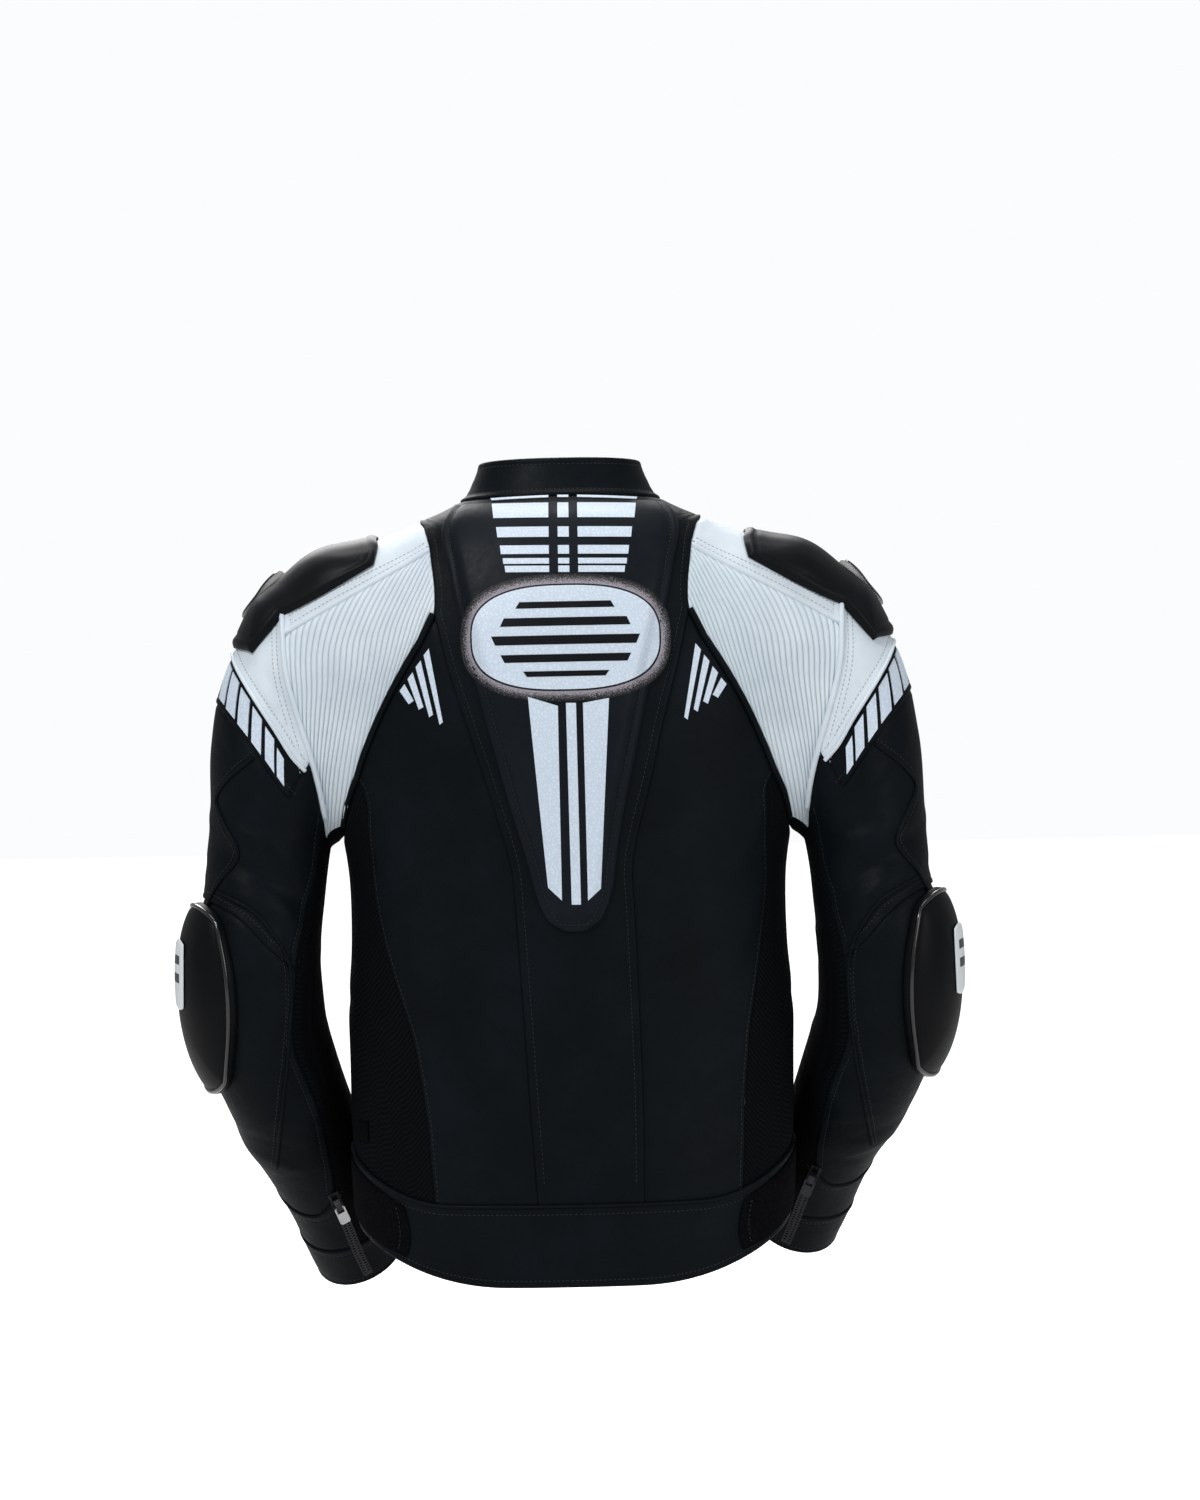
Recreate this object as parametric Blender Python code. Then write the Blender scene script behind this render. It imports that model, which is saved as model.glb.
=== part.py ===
"""Leather racing jacket in the pose in which it is worn: hollow body, open neck, hem and cuffs.

The cloth is a wall laid on two surfaces worked out from short tables: the body, a stack of rounded sections,
and the sleeve, a tilted oval tube joined to the armhole. Every piece that a maker would cut is a patch of one
of these surfaces between its seams. Tables are in millimetres and degrees, and the model is in metres.

Axes: +Z up, +Y the back, +X the wearer's left. The origin is at the height where neck and shoulder meet.
Round the body 0 degrees is the centre back, 90 the side and 180 the centre front.
Round a sleeve 0 degrees is the outer side, 90 the back, 180 the side next to the body and 270 the front.
"""
import math

import bmesh
import bpy
import numpy as np
from mathutils import Matrix, Vector

MM = 0.001

# Cloth and seams
WALL = 2.0              # leather with its backing
SEAM_GAP = 0.3          # clear gap between two pieces at a seam
LAY_GAP = 0.5           # what lies on a panel starts this far above it
CUP_GAP = 1.2           # and a hard cup, which bridges the folds

# Body
BODY_ROUNDNESS = 2.3    # power of the body's oval section
NECK_DROP = 38.0        # the neckline is this much lower at the front
NECK_DROP_REACH = 100.0
COLLAR_HEIGHT = 30.0
WAIST_SEAM = -551.0     # height of the waistband's top seam at the centre back
WAIST_RISE = 40.0       # and how much higher it is at the sides
HEM = -613.0
HEM_RISE = 46.0
ZIP_HALF_WIDTH = 7.0

# Sleeves
SHOULDER_RUN = 120.0    # length given to the cloth between the armhole and the cap seam
SLEEVE_END = -612.0     # height of the sleeve's centre at the end of the cuff
CUFF_SEAM = -579.0
RIGHT_FOREARM = (-430.0, -620.0)    # heights between which the right forearm is lifted
RIGHT_FOREARM_LIFT = 18.5
BAND_WIDTH = 30.0
RIB_COUNT = 26
RIB_HEIGHT = 1.3

# Hump
HUMP_EDGE = 2.4         # thickness at its sewn edge
HUMP_SHOULDER = 16.0    # distance over which it rises to its full height

# Body sections: height, half width, depth to the back, depth to the front
BODY_SECTIONS = [
    (30, 64, 60, 54),
    (15, 70, 64, 57),
    (0, 80, 71, 63),
    (-8, 95, 79, 69),
    (-15, 111, 87, 73),
    (-30, 134, 96, 81),
    (-50, 152, 104, 90),
    (-75, 166, 111, 99),
    (-100, 174, 116, 106),
    (-150, 182, 121, 117),
    (-200, 184, 122, 123),
    (-250, 181, 118, 124),
    (-300, 174, 112, 121),
    (-350, 174, 108, 118),
    (-400, 177, 106, 115),
    (-450, 177, 106, 113),
    (-500, 176, 108, 112),
    (-550, 174, 112, 113),
    (-620, 169, 114, 113),
]

# Armhole: angle round the sleeve, half width on the body, height, and 1 at the back or -1 at the front
ARMHOLE = [
    (0, 111, -15, 1),
    (12, 109, -20, 1),
    (24, 106, -27, 1),
    (36, 104, -34, 1),
    (48, 102, -42, 1),
    (63, 99, -65, 1),
    (78, 99, -92, 1),
    (92, 110, -114, 1),
    (106, 124, -136, 1),
    (120, 138, -161, 1),
    (134, 151, -188, 1),
    (148, 163, -219, 1),
    (166, 176, -256, 1),
    (182, 179, -266, -1),
    (198, 173, -256, -1),
    (215, 160, -234, -1),
    (235, 144, -200, -1),
    (255, 127, -160, -1),
    (275, 114, -120, -1),
    (295, 108, -88, -1),
    (315, 107, -60, -1),
    (335, 108, -34, -1),
    (348, 109, -22, -1),
]

# Cap seam: angle round the sleeve, height of the sleeve's centre where the seam crosses it
CAP_SEAM = [
    (0, -95), (24, -97), (48, -105), (63, -120), (78, -138), (92, -156), (106, -177), (120, -198),
    (134, -221), (148, -243), (162, -261), (180, -269), (198, -263), (215, -241), (235, -206),
    (255, -168), (275, -134), (295, -113), (315, -101), (335, -95),
]

# Sleeve: height of the centre, its distance from the middle, its depth, half width, half depth
SLEEVE_SECTIONS = [
    (-60, 168, 2, 46, 52),
    (-100, 186, 4, 52, 59),
    (-150, 212, 6, 60, 62),
    (-200, 227, 8, 56, 60),
    (-250, 235, 9, 50, 57),
    (-290, 240, 10, 48, 55),
    (-320, 243, 12, 48, 55),
    (-350, 247, 14, 50, 56),
    (-385, 248, 12, 50.5, 57),
    (-420, 245, 2, 50, 57),
    (-455, 235, -14, 48.5, 56),
    (-490, 223, -34, 46, 53),
    (-525, 209, -56, 42, 48),
    (-560, 197, -80, 39.5, 43),
    (-590, 188, -102, 38.5, 41),
    (-620, 177, -124, 37.5, 38.5),
]

# Largest folds of a sleeve: angle and height of the middle, reach in degrees, fall in mm for each degree,
# half width and rise of the ridge in mm (below zero is a trough)
SLEEVE_FOLDS = [
    (95, -276, 45, 0.30, 11, 3.0),
    (100, -300, 50, 0.38, 10, -3.0),
    (88, -318, 45, 0.34, 10, 2.6),
    (290, -322, 60, -0.10, 12, -4.5),
    (285, -346, 60, 0.05, 12, 3.5),
    (280, -372, 60, 0.10, 12, -3.5),
    (120, -470, 40, -0.50, 12, 2.4),
    (60, -497, 50, 0.20, 11, 2.2),
]

# Elbow cup: angle and height of its middle, half its angle and half its height. The cloth is smooth under it.
ELBOW_CUP = (12, -383, 64, 62)
ELBOW_CUP_EDGE, ELBOW_CUP_FULL = 3.0, 13.0      # its thickness
ELBOW_BADGE = (17, -370, 15, 21)                # the same four values
BADGE_THICK = 1.2
BADGE_RISE = 0.4                                # clear of the cup's top

# Shoulder cup: angle and run of its middle, half its angle and half its run, and how far it leans
SHOULDER_CUP = (-1, -20, 52, 65)
SHOULDER_CUP_LEAN = -3.0
SHOULDER_CUP_EDGE, SHOULDER_CUP_FULL = 2.5, 8.0
SHOULDER_CUP_RIDGE, SHOULDER_CUP_CREST = 2.2, 0.43   # height and place of the two ridges across it
SHOULDER_CUP_OUTER = 0.06                       # it is this share thicker at its outer end
SHOULDER_PLATE = (-8, 4, 15, 24)
PLATE_RISE = 11.0                               # its under side above the cup's
PLATE_EDGE, PLATE_FULL = 1.0, 2.0

# Waist tab: angle of its middle, half its angle, half its height, thickness
WAIST_TAB = (70, 25, 22, 2.0)
# Side tag: its corner's distance from the middle and height, width, height, thickness
SIDE_TAG = (160, -489, 9, 15, 1.0)

# Half width of the centre back panel at the back, by height, and how far the worn jacket is turned there
PRINCESS_SEAM = [
    (-99, 97, 0), (-126, 91, 0), (-178, 76, -1), (-229, 62, -3), (-254, 55, -3), (-288, 47, -4),
    (-326, 46, -6), (-398, 45, -9), (-482, 43.5, -12), (-551, 41, -13.5),
]
SIDE_BACK_SEAM = [
    (-219, 163, 0), (-224, 160, 0), (-260, 156, -1), (-312, 154, -3), (-345, 149, -4), (-378, 142, -6),
    (-427, 131, -9), (-476, 125, -11), (-545, 120, -12),
]
# Seam between side and front, seen from the front: height, half width
SIDE_FRONT_SEAM = [(-234, 160), (-300, 152), (-380, 146), (-460, 144), (-540, 142)]

# Hump: height, half width, turn, full height above the panel. Below its tip the rows only guide the panel.
HUMP = [
    (0, 69, 0, 2.4), (-7.5, 83, 0, 2.6), (-15, 88, 0, 4), (-60, 86, 0, 8), (-95, 79, 0, 10), (-145, 67, 0, 11),
    (-200, 54, -1, 11), (-250, 42, -2, 10), (-285, 34, -4, 9), (-304, 30.5, -5, 8), (-322, 25, -5, 6.5),
    (-337, 11, -5, 4), (-400, 16, -8, 0), (-551, 24, -13, 0),
]
HUMP_TOP_ROW = 1
HUMP_TIP = -337.0
HUMP_PLACES = [-1, -0.86, -0.62, -0.22, 0.22, 0.62, 0.86, 1]
# Heights at which the seams of the back are sampled, below the corner of the armhole
BACK_HEIGHTS = [-128, -166, -206, -244, -278, -304, -322, HUMP_TIP, -388, -442, -497, WAIST_SEAM]

# Lengthwise seam behind the arm: height, angle
BACK_SLEEVE_SEAM = [
    (-243, 148), (-300, 146), (-340, 136), (-364, 131), (-385, 129), (-415, 124), (-450, 128), (-490, 125),
    (-515, 117), (-530, 110), (-579, 107),
]

# Cuts across the sleeve: angle, height
CAP_EDGE = [(-25, -146), (0, -143), (30, -148), (60, -162), (85, -181), (105, -200), (117, -208)]
ELBOW_SEAM = [(-25, -316), (20, -318), (55, -326), (85, -338), (105, -350), (120, -359), (131, -364)]
WRIST_SEAM = [(-25, -528), (20, -536), (55, -544), (85, -544), (100, -538), (110, -530)]

# Sample angles round the sleeve, shared by the pieces that meet at the armhole and at the cap seam
SHOULDER_ANGLES = [-25, -12, 0, 12, 24, 36, 48]
RIBBED_ANGLES = [48, 63, 78, 92, 106, 120, 134, 148]
STRIP_ANGLES = [42, 48]         # the smooth strip's last two samples at the armhole
STRIP_FOOT = 63                 # and its end at the cap seam, where the ribs start
RIB_FOOT_ANGLES = [STRIP_FOOT, 70.5] + RIBBED_ANGLES[2:]
UNDERARM_ANGLES = [174, 182, 190, 202, 215]
FRONT_ANGLES = [215, 235, 255, 275, 295, 315, 335]
TIP_ANGLE_ARMHOLE = 166
TIP_ANGLE_CAP = 161
TIP_CLEARANCE = 1.0     # degrees by which the ribs stop short of the under sleeve's curved edge
TIP_DROP = 0.8          # and how much lower the under sleeve starts along the cap seam

BLACK = (0.012, 0.014, 0.018)
STRETCH_BLACK = (0.016, 0.017, 0.020)
WHITE = (0.70, 0.77, 0.82)
GLOSS_BLACK = (0.006, 0.006, 0.008)
METAL = (0.30, 0.30, 0.31)


# --- Curves and surfaces -----------------------------------------------------------------------------------

def smooth_step(start, end, value):
    part = np.clip((np.asarray(value, float) - start) / (end - start), 0.0, 1.0)
    return part * part * (3.0 - 2.0 * part)


def through(table, closed=False):
    """Smooth curve through a table: the first column is the place along it, the others are its values."""
    rows = np.array(sorted(table), float)
    if closed:
        turn = np.zeros(rows.shape[1])
        turn[0] = 360.0
        rows = np.vstack([rows[-2:] - turn, rows, rows[:2] + turn])
    places, values = rows[:, 0], rows[:, 1:]
    slopes = np.gradient(values, places, axis=0)

    def at(place):
        place = np.asarray(place, float)
        if closed:
            place = place % 360.0
        low = np.clip(np.searchsorted(places, place, side="right") - 1, 0, len(places) - 2)
        span = (places[low + 1] - places[low])[..., None]
        part = np.clip((place[..., None] - places[low][..., None]) / span, 0.0, 1.0)
        rest = 1.0 - part
        return (
            (1 + 2 * part) * rest**2 * values[low]
            + part * rest**2 * span * slopes[low]
            + part**2 * (3 - 2 * part) * values[low + 1]
            - part**2 * rest * span * slopes[low + 1]
        )

    return at


def unit(vectors):
    return vectors / np.linalg.norm(vectors, axis=-1, keepdims=True)


def signed_power(value, power):
    return np.sign(value) * np.abs(value) ** power


body_section = through(BODY_SECTIONS)
sleeve_section = through(SLEEVE_SECTIONS)
cap_height = through(CAP_SEAM, closed=True)


def body(angle, height):
    """Point of the body's surface."""
    angle, height = np.broadcast_arrays(np.asarray(angle, float), np.asarray(height, float))
    half_width, back, front = np.moveaxis(body_section(height), -1, 0)
    sine, cosine = np.sin(np.radians(angle)), np.cos(np.radians(angle))
    x = half_width * signed_power(sine, 2 / BODY_ROUNDNESS)
    y = np.where(cosine > 0, back, front) * signed_power(cosine, 2 / BODY_ROUNDNESS)
    drop = NECK_DROP * smooth_step(80, 180, np.abs(angle)) * np.clip(1 + height / NECK_DROP_REACH, 0, 1)
    return np.stack([x, y, height - drop], axis=-1)


def body_angle(x, height, at_front=False):
    """Angle at which the body's surface is x from its middle at this height."""
    half_width = body_section(height)[..., 0]
    part = np.clip(np.abs(x) / half_width, 0.0, 1.0) ** (BODY_ROUNDNESS / 2)
    angle = np.degrees(np.arcsin(part)) * np.sign(x)
    return np.sign(x) * 180.0 - angle if at_front else angle


armhole_rows = []
for ANGLE, WIDTH, HEIGHT, WHERE in ARMHOLE:
    AROUND = float(body_angle(WIDTH, np.array(float(HEIGHT)), at_front=WHERE < 0))
    armhole_rows.append((ANGLE, AROUND, HEIGHT))
armhole_place = through(armhole_rows, closed=True)


def armhole(angle):
    """Point of the left armhole's edge as an angle round the body and a height."""
    return np.moveaxis(armhole_place(angle), -1, 0)


def sleeve_fold(angle, height):
    rise = np.zeros(np.broadcast(angle, height).shape)
    for middle, level, reach, fall, half_width, lift in SLEEVE_FOLDS:
        turn = (angle - middle + 180.0) % 360.0 - 180.0
        off = (height - level + fall * turn) / half_width
        rise = rise + lift * np.exp(-off**2) * np.exp(-((turn / reach) ** 2))
    middle, level, half_angle, half_height = ELBOW_CUP
    turn = (angle - middle + 180.0) % 360.0 - 180.0
    return rise * smooth_step(1.0, 1.4, np.hypot(turn / half_angle, (height - level) / half_height))


def tube(angle, height):
    """Point of the sleeve below the cap seam; the height is that of the sleeve's centre."""
    angle, height = np.broadcast_arrays(np.asarray(angle, float), np.asarray(height, float))
    x, y, half_width, half_depth = np.moveaxis(sleeve_section(height), -1, 0)
    above, below = sleeve_section(height + 4.0), sleeve_section(height - 4.0)
    fall = np.stack([below[..., 0] - above[..., 0], below[..., 1] - above[..., 1], np.full(x.shape, -8.0)], -1)
    fall = unit(fall)
    outward = unit(np.array([1.0, 0.0, 0.0]) - fall[..., :1] * fall)
    backward = np.cross(outward, fall)
    rise = sleeve_fold(angle, height)
    across = ((half_width + rise) * np.cos(np.radians(angle)))[..., None] * outward
    along = ((half_depth + rise) * np.sin(np.radians(angle)))[..., None] * backward
    return np.stack([x, y, height], -1) + across + along


def normal(surface, u, v, step=0.05):
    along_u = surface(u + step, v) - surface(u - step, v)
    along_v = surface(u, v + step) - surface(u, v - step)
    return unit(np.cross(along_v, along_u))


def tangent_towards(chord, facing):
    """The chord turned into the surface that faces this way, at its own length."""
    flat = chord - np.sum(chord * facing, axis=-1, keepdims=True) * facing
    return unit(flat) * np.linalg.norm(chord, axis=-1, keepdims=True)


def sleeve(angle, run):
    """Point of the left sleeve: run is zero at the cap seam, falls to -SHOULDER_RUN at the armhole
    and grows by a millimetre for each millimetre that the sleeve's centre is lower."""
    angle, run = np.broadcast_arrays(np.asarray(angle, float), np.asarray(run, float))
    seam = cap_height(angle)[..., 0]
    lower = tube(angle, seam - np.maximum(run, 0.0))
    part = np.clip(1.0 + run / SHOULDER_RUN, -0.01, 1.0)[..., None]
    around, height = armhole(angle)
    start, end = body(around, height), tube(angle, seam)
    chord = end - start
    smooth_start = tangent_towards(chord, normal(body, around, height))
    underarm = smooth_step(52, 22, np.abs((angle % 360.0) - 182.0))[..., None]
    leave = 0.75 * ((1 - underarm) * smooth_start + underarm * chord)
    around_arm = tangent_towards(chord, normal(tube, angle, seam))
    down_arm = unit(tube(angle, seam - 1.0) - end) * np.linalg.norm(chord, axis=-1, keepdims=True)
    arrive = 0.75 * ((1 - underarm) * around_arm + underarm * down_arm)
    rest = 1.0 - part
    upper = (
        (1 + 2 * part) * rest**2 * start
        + part * rest**2 * leave
        + part**2 * (3 - 2 * part) * end
        - part**2 * rest * arrive
    )
    return np.where(run[..., None] > 0, lower, upper)


def below_cap(angle, height):
    """Run of the point of the sleeve whose centre is at this height."""
    return cap_height(angle)[..., 0] - height


def waist_height(angle):
    return WAIST_SEAM + WAIST_RISE * smooth_step(30, 95, np.abs(angle))


def hem_height(angle):
    return HEM + HEM_RISE * smooth_step(15, 100, np.abs(angle))


# --- Outlines ----------------------------------------------------------------------------------------------

def joined(*runs):
    """One outline from runs that follow each other, without the points that two of them share."""
    return np.vstack([runs[0]] + [run[1:] for run in runs[1:]])


def straight(start, end, count):
    return np.linspace(start, end, count + 1)


def patch(top, right, bottom, left, late=1):
    """Grid between four edges: top and bottom run from left to right, left and right run from top to bottom.
    A late one takes up the bottom edge's shape only in its lower rows."""
    across = np.linspace(0, 1, len(top))[None, :, None]
    down = np.linspace(0, 1, len(left))[:, None, None] ** late
    ends = (
        (1 - down) * (1 - across) * top[0]
        + (1 - down) * across * top[-1]
        + down * (1 - across) * bottom[0]
        + down * across * bottom[-1]
    )
    between_rows = (1 - down) * top[None] + down * bottom[None]
    between_columns = (1 - across) * left[:, None] + across * right[:, None]
    return between_rows + between_columns - ends


# --- Solids ------------------------------------------------------------------------------------------------

for old in list(bpy.data.objects):
    bpy.data.objects.remove(old, do_unlink=True)

jacket = bpy.data.collections.new("motorcycle_jacket")
bpy.context.scene.collection.children.link(jacket)


def finish(thing, color, roughness=0.5, metallic=0.0):
    """Give the object a material of its own and put it in the jacket."""
    material = bpy.data.materials.new(thing.name)
    material.use_nodes = True
    surface = material.node_tree.nodes["Principled BSDF"]
    surface.inputs["Base Color"].default_value = (*color, 1.0)
    surface.inputs["Roughness"].default_value = roughness
    surface.inputs["Metallic"].default_value = metallic
    thing.data.materials.append(material)
    jacket.objects.link(thing)
    return thing


def wall(name, inner, outer, color, closed=False, roughness=0.5):
    """Closed solid between two grids of points, the inner and the outer side of a piece of cloth.
    A closed one has its first and last columns at the same place."""
    rows, columns = inner.shape[:2]
    mesh = bpy.data.meshes.new(name)
    shape = bmesh.new()
    bmesh.ops.create_grid(shape, x_segments=columns - 1, y_segments=rows - 1, size=1.0)
    places = outer.reshape(-1, 3) * MM
    for vertex, place in zip(shape.verts, inner.reshape(-1, 3) * MM):
        vertex.co = place
    shape.verts.index_update()
    index = shape.verts.layers.int.new("place")
    for vertex in shape.verts:
        vertex[index] = vertex.index
    raised = bmesh.ops.extrude_face_region(shape, geom=shape.faces[:], use_keep_orig=True)
    for piece in raised["geom"]:
        if isinstance(piece, bmesh.types.BMVert):
            piece.co = places[piece[index]]
    if closed:
        ends = [face for face in shape.faces if face.calc_area() and is_seam_end(face, index, columns)]
        bmesh.ops.delete(shape, geom=ends, context="FACES_ONLY")
        bmesh.ops.remove_doubles(shape, verts=shape.verts[:], dist=1e-7)
    bmesh.ops.recalc_face_normals(shape, faces=shape.faces[:])
    shape.to_mesh(mesh)
    shape.free()
    return finish(bpy.data.objects.new(name, mesh), color, roughness)


def is_seam_end(face, index, columns):
    """True for the faces that close the first and the last column of a grid."""
    return any(all(vertex[index] % columns == end for vertex in face.verts) for end in (0, columns - 1))


def drawn_in(grid, distance, sides="tblr"):
    """The grid with its edges moved in by a distance, square to each edge along the surface."""
    moved = grid.copy()
    edges = {
        "t": (grid[0], grid[1], (0, slice(None))),
        "b": (grid[-1], grid[-2], (-1, slice(None))),
        "l": (grid[:, 0], grid[:, 1], (slice(None), 0)),
        "r": (grid[:, -1], grid[:, -2], (slice(None), -1)),
    }
    pushes = {}
    for side in sides:
        edge, inside, _ = edges[side]
        along = unit(np.gradient(edge, axis=0))
        push = inside - edge
        pushes[side] = unit(push - np.sum(push * along, axis=-1, keepdims=True) * along)
    for side in sides:
        moved[edges[side][2]] += distance * pushes[side]
    corners = [("t", "l", 0, 0), ("t", "r", 0, -1), ("b", "l", -1, 0), ("b", "r", -1, -1)]
    for first, second, row, column in corners:
        if first in sides and second in sides:
            one, other = pushes[first][column], pushes[second][row]
            spread = max(1.0 + float(one @ other), 0.35)
            moved[row, column] = grid[row, column] + distance * (one + other) / spread
    return moved


def mirrored(points, side):
    """The points on the wearer's left (side 1) or on the right (side -1)."""
    return points * np.array([side, 1.0, 1.0])


def on_side(points, surface, side):
    """Mirrored points of a surface. The right forearm is held a little higher than the left."""
    points = mirrored(points, side)
    if side < 0 and surface is sleeve:
        points[..., 2] += RIGHT_FOREARM_LIFT * smooth_step(*RIGHT_FOREARM, points[..., 2])
    return points


def cloth(name, surface, grid, color, side=1, relief=None, sides="tblr", closed=False):
    """One cut piece: a wall on a surface between the edges of a grid of surface places."""
    u, v = grid[..., 0], grid[..., 1]
    facing = normal(surface, u, v)
    outer = surface(u, v)
    inner = outer - WALL * facing
    if relief is not None:
        outer = outer + relief[..., None] * facing
    outer, inner = (drawn_in(layer, SEAM_GAP / 2, sides) for layer in (outer, inner))
    if closed:
        outer[:, -1], inner[:, -1] = outer[:, 0], inner[:, 0]
    inner, outer = (on_side(layer, surface, side) for layer in (inner, outer))
    return wall(name, inner, outer, color, closed)


def laid_on(name, surface, grid, rise, color, side=1, base=LAY_GAP, roughness=0.5):
    """A piece that lies on the cloth: it starts just above the surface and is as thick as rise says."""
    u, v = grid[..., 0], grid[..., 1]
    facing = normal(surface, u, v)
    under = surface(u, v) + np.broadcast_to(base, u.shape)[..., None] * facing
    over = under + np.broadcast_to(rise, u.shape)[..., None] * facing
    under, over = (on_side(layer, surface, side) for layer in (under, over))
    return wall(name, under, over, color, roughness=roughness)


def rounded_grid(columns, rows, roundness):
    """Grid over a square of -1 to 1 whose corners are rounded: 0 is a square and 1 a full round."""
    a, b = np.meshgrid(np.linspace(-1, 1, columns + 1), np.linspace(-1, 1, rows + 1))
    return a, b, a * np.sqrt(1 - roundness * b**2 / 2), b * np.sqrt(1 - roundness * a**2 / 2)


def dome(a, b, edge, full, power=2.5):
    """Thickness of a moulded cup: its rim at the edge and full in the middle."""
    out = np.maximum(np.abs(a), np.abs(b)) ** power
    return edge + (full - edge) * np.sqrt(1 - out)


# --- Body --------------------------------------------------------------------------------------------------

NECK_COLUMNS_FRONT = 6
ZIP_ANGLE = 180.0 - float(body_angle(ZIP_HALF_WIDTH, np.array(-300.0)))

princess = through(PRINCESS_SEAM)
side_back = through(SIDE_BACK_SEAM)
side_front = through(SIDE_FRONT_SEAM)


def armhole_run(angles):
    around, height = armhole(np.array(angles, float))
    return np.stack([around, height], -1)


def seam_down(table, side, first, heights, at_front=False):
    """A seam from the armhole point it starts at down to the waistband, as angles and heights."""
    heights = np.concatenate([[first[1]], heights])
    width, *turn = np.moveaxis(table(heights), -1, 0)
    if at_front:
        angle = body_angle(width, heights, at_front=True)
    else:
        angle = body_angle(width + side * turn[0], heights)
    angle[0] = first[0]
    foot = waist_height(angle[-1])
    heights = first[1] + (heights - first[1]) * (foot - first[1]) / (WAIST_SEAM - first[1])
    return np.stack([angle, heights], -1)


def evenly_down(first, count):
    return np.linspace(first[1], WAIST_SEAM, count + 1)[1:]


def waist_run(start, end, count):
    angle = np.linspace(start, end, count + 1)
    return np.stack([angle, waist_height(angle)], -1)


def body_seams(side):
    """The seams of one side of the body. Angles count towards that side."""
    corner, back_join, front_join = armhole_run([78, 148, 215])
    count = len(BACK_HEIGHTS)
    return {
        "shoulder": straight((90.0, 0.0), armhole_run([0])[0], 2),
        "princess": seam_down(princess, side, corner, BACK_HEIGHTS),
        "side_back": seam_down(side_back, side, back_join, evenly_down(back_join, count)),
        "side_front": seam_down(side_front, side, front_join, evenly_down(front_join, count), at_front=True),
    }


SEAMS = {1: body_seams(1), -1: body_seams(-1)}
SIDE_NAMES = {1: "left", -1: "right"}
other_way = np.array([-1.0, 1.0])


def back_grid():
    """Places of the centre back panel: some of its columns run along the edge of the hump."""
    edges = []
    for side in SEAMS:
        armhole_edge = armhole_run(SHOULDER_ANGLES[2:-1] + STRIP_ANGLES + RIBBED_ANGLES[1:3])
        edges.append(joined(SEAMS[side]["shoulder"], armhole_edge, SEAMS[side]["princess"]))
    left, right = edges
    half_width, turn, _ = np.moveaxis(through(HUMP)(left[:, 1]), -1, 0)
    x = turn[:, None] + half_width[:, None] * np.array(HUMP_PLACES)
    angle = body_angle(x, left[:, 1][:, None])
    angle = np.column_stack([-right[:, 0], angle, left[:, 0]])
    height = left[:, 1][:, None] * np.ones(angle.shape)
    height[-1] = waist_height(angle[-1])
    return np.stack([angle, height], -1)


BACK = back_grid()


def make_back_panel():
    cloth("back_panel", body, BACK, BLACK)


def make_hump():
    """Padded panel on the back: it rises from its sewn edge and ends in a round tip."""
    tip_row = int(np.argmin(np.abs(BACK[:, 0, 1] - HUMP_TIP)))
    grid = BACK[HUMP_TOP_ROW : tip_row + 1, 1:-1]
    height = grid[:, 0, 1]
    half_width, _, full = np.moveaxis(through(HUMP)(height), -1, 0)
    to_side = half_width[:, None] * (1 - np.abs(HUMP_PLACES))
    to_end = (height - HUMP_TIP)[:, None]
    lift = smooth_step(0, HUMP_SHOULDER, to_side) * smooth_step(0, HUMP_SHOULDER, to_end)
    rise = HUMP_EDGE + (full[:, None] - HUMP_EDGE) * lift
    laid_on("hump_panel", body, grid, rise, BLACK)


def make_back_sides():
    for side, seams in SEAMS.items():
        top = armhole_run(RIBBED_ANGLES[2:])
        foot = waist_run(seams["princess"][-1][0], seams["side_back"][-1][0], len(top) - 1)
        grid = patch(top, seams["side_back"], foot, seams["princess"])
        cloth(f"back_side_{SIDE_NAMES[side]}", body, grid, BLACK, side)


def make_side_panels():
    for side, seams in SEAMS.items():
        top = armhole_run(RIBBED_ANGLES[-1:] + [TIP_ANGLE_ARMHOLE] + UNDERARM_ANGLES)
        foot = waist_run(seams["side_back"][-1][0], seams["side_front"][-1][0], len(top) - 1)
        grid = patch(top, seams["side_front"], foot, seams["side_back"])
        cloth(f"side_panel_{SIDE_NAMES[side]}", body, grid, STRETCH_BLACK, side)


def front_edge_run(seams):
    return joined(seams["shoulder"], armhole_run([360, 348] + FRONT_ANGLES[::-1]), seams["side_front"])


FRONT_ROWS = front_edge_run(SEAMS[1])


def make_fronts():
    for side, seams in SEAMS.items():
        outer_edge = front_edge_run(seams)
        grid = np.linspace(outer_edge, outer_edge, NECK_COLUMNS_FRONT + 1, axis=1)
        grid[..., 0] = np.linspace(outer_edge[:, 0], ZIP_ANGLE, NECK_COLUMNS_FRONT + 1, axis=1)
        grid[-1, :, 1] = waist_height(grid[-1, :, 0])
        cloth(f"front_{SIDE_NAMES[side]}", body, grid, BLACK, side)


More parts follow.
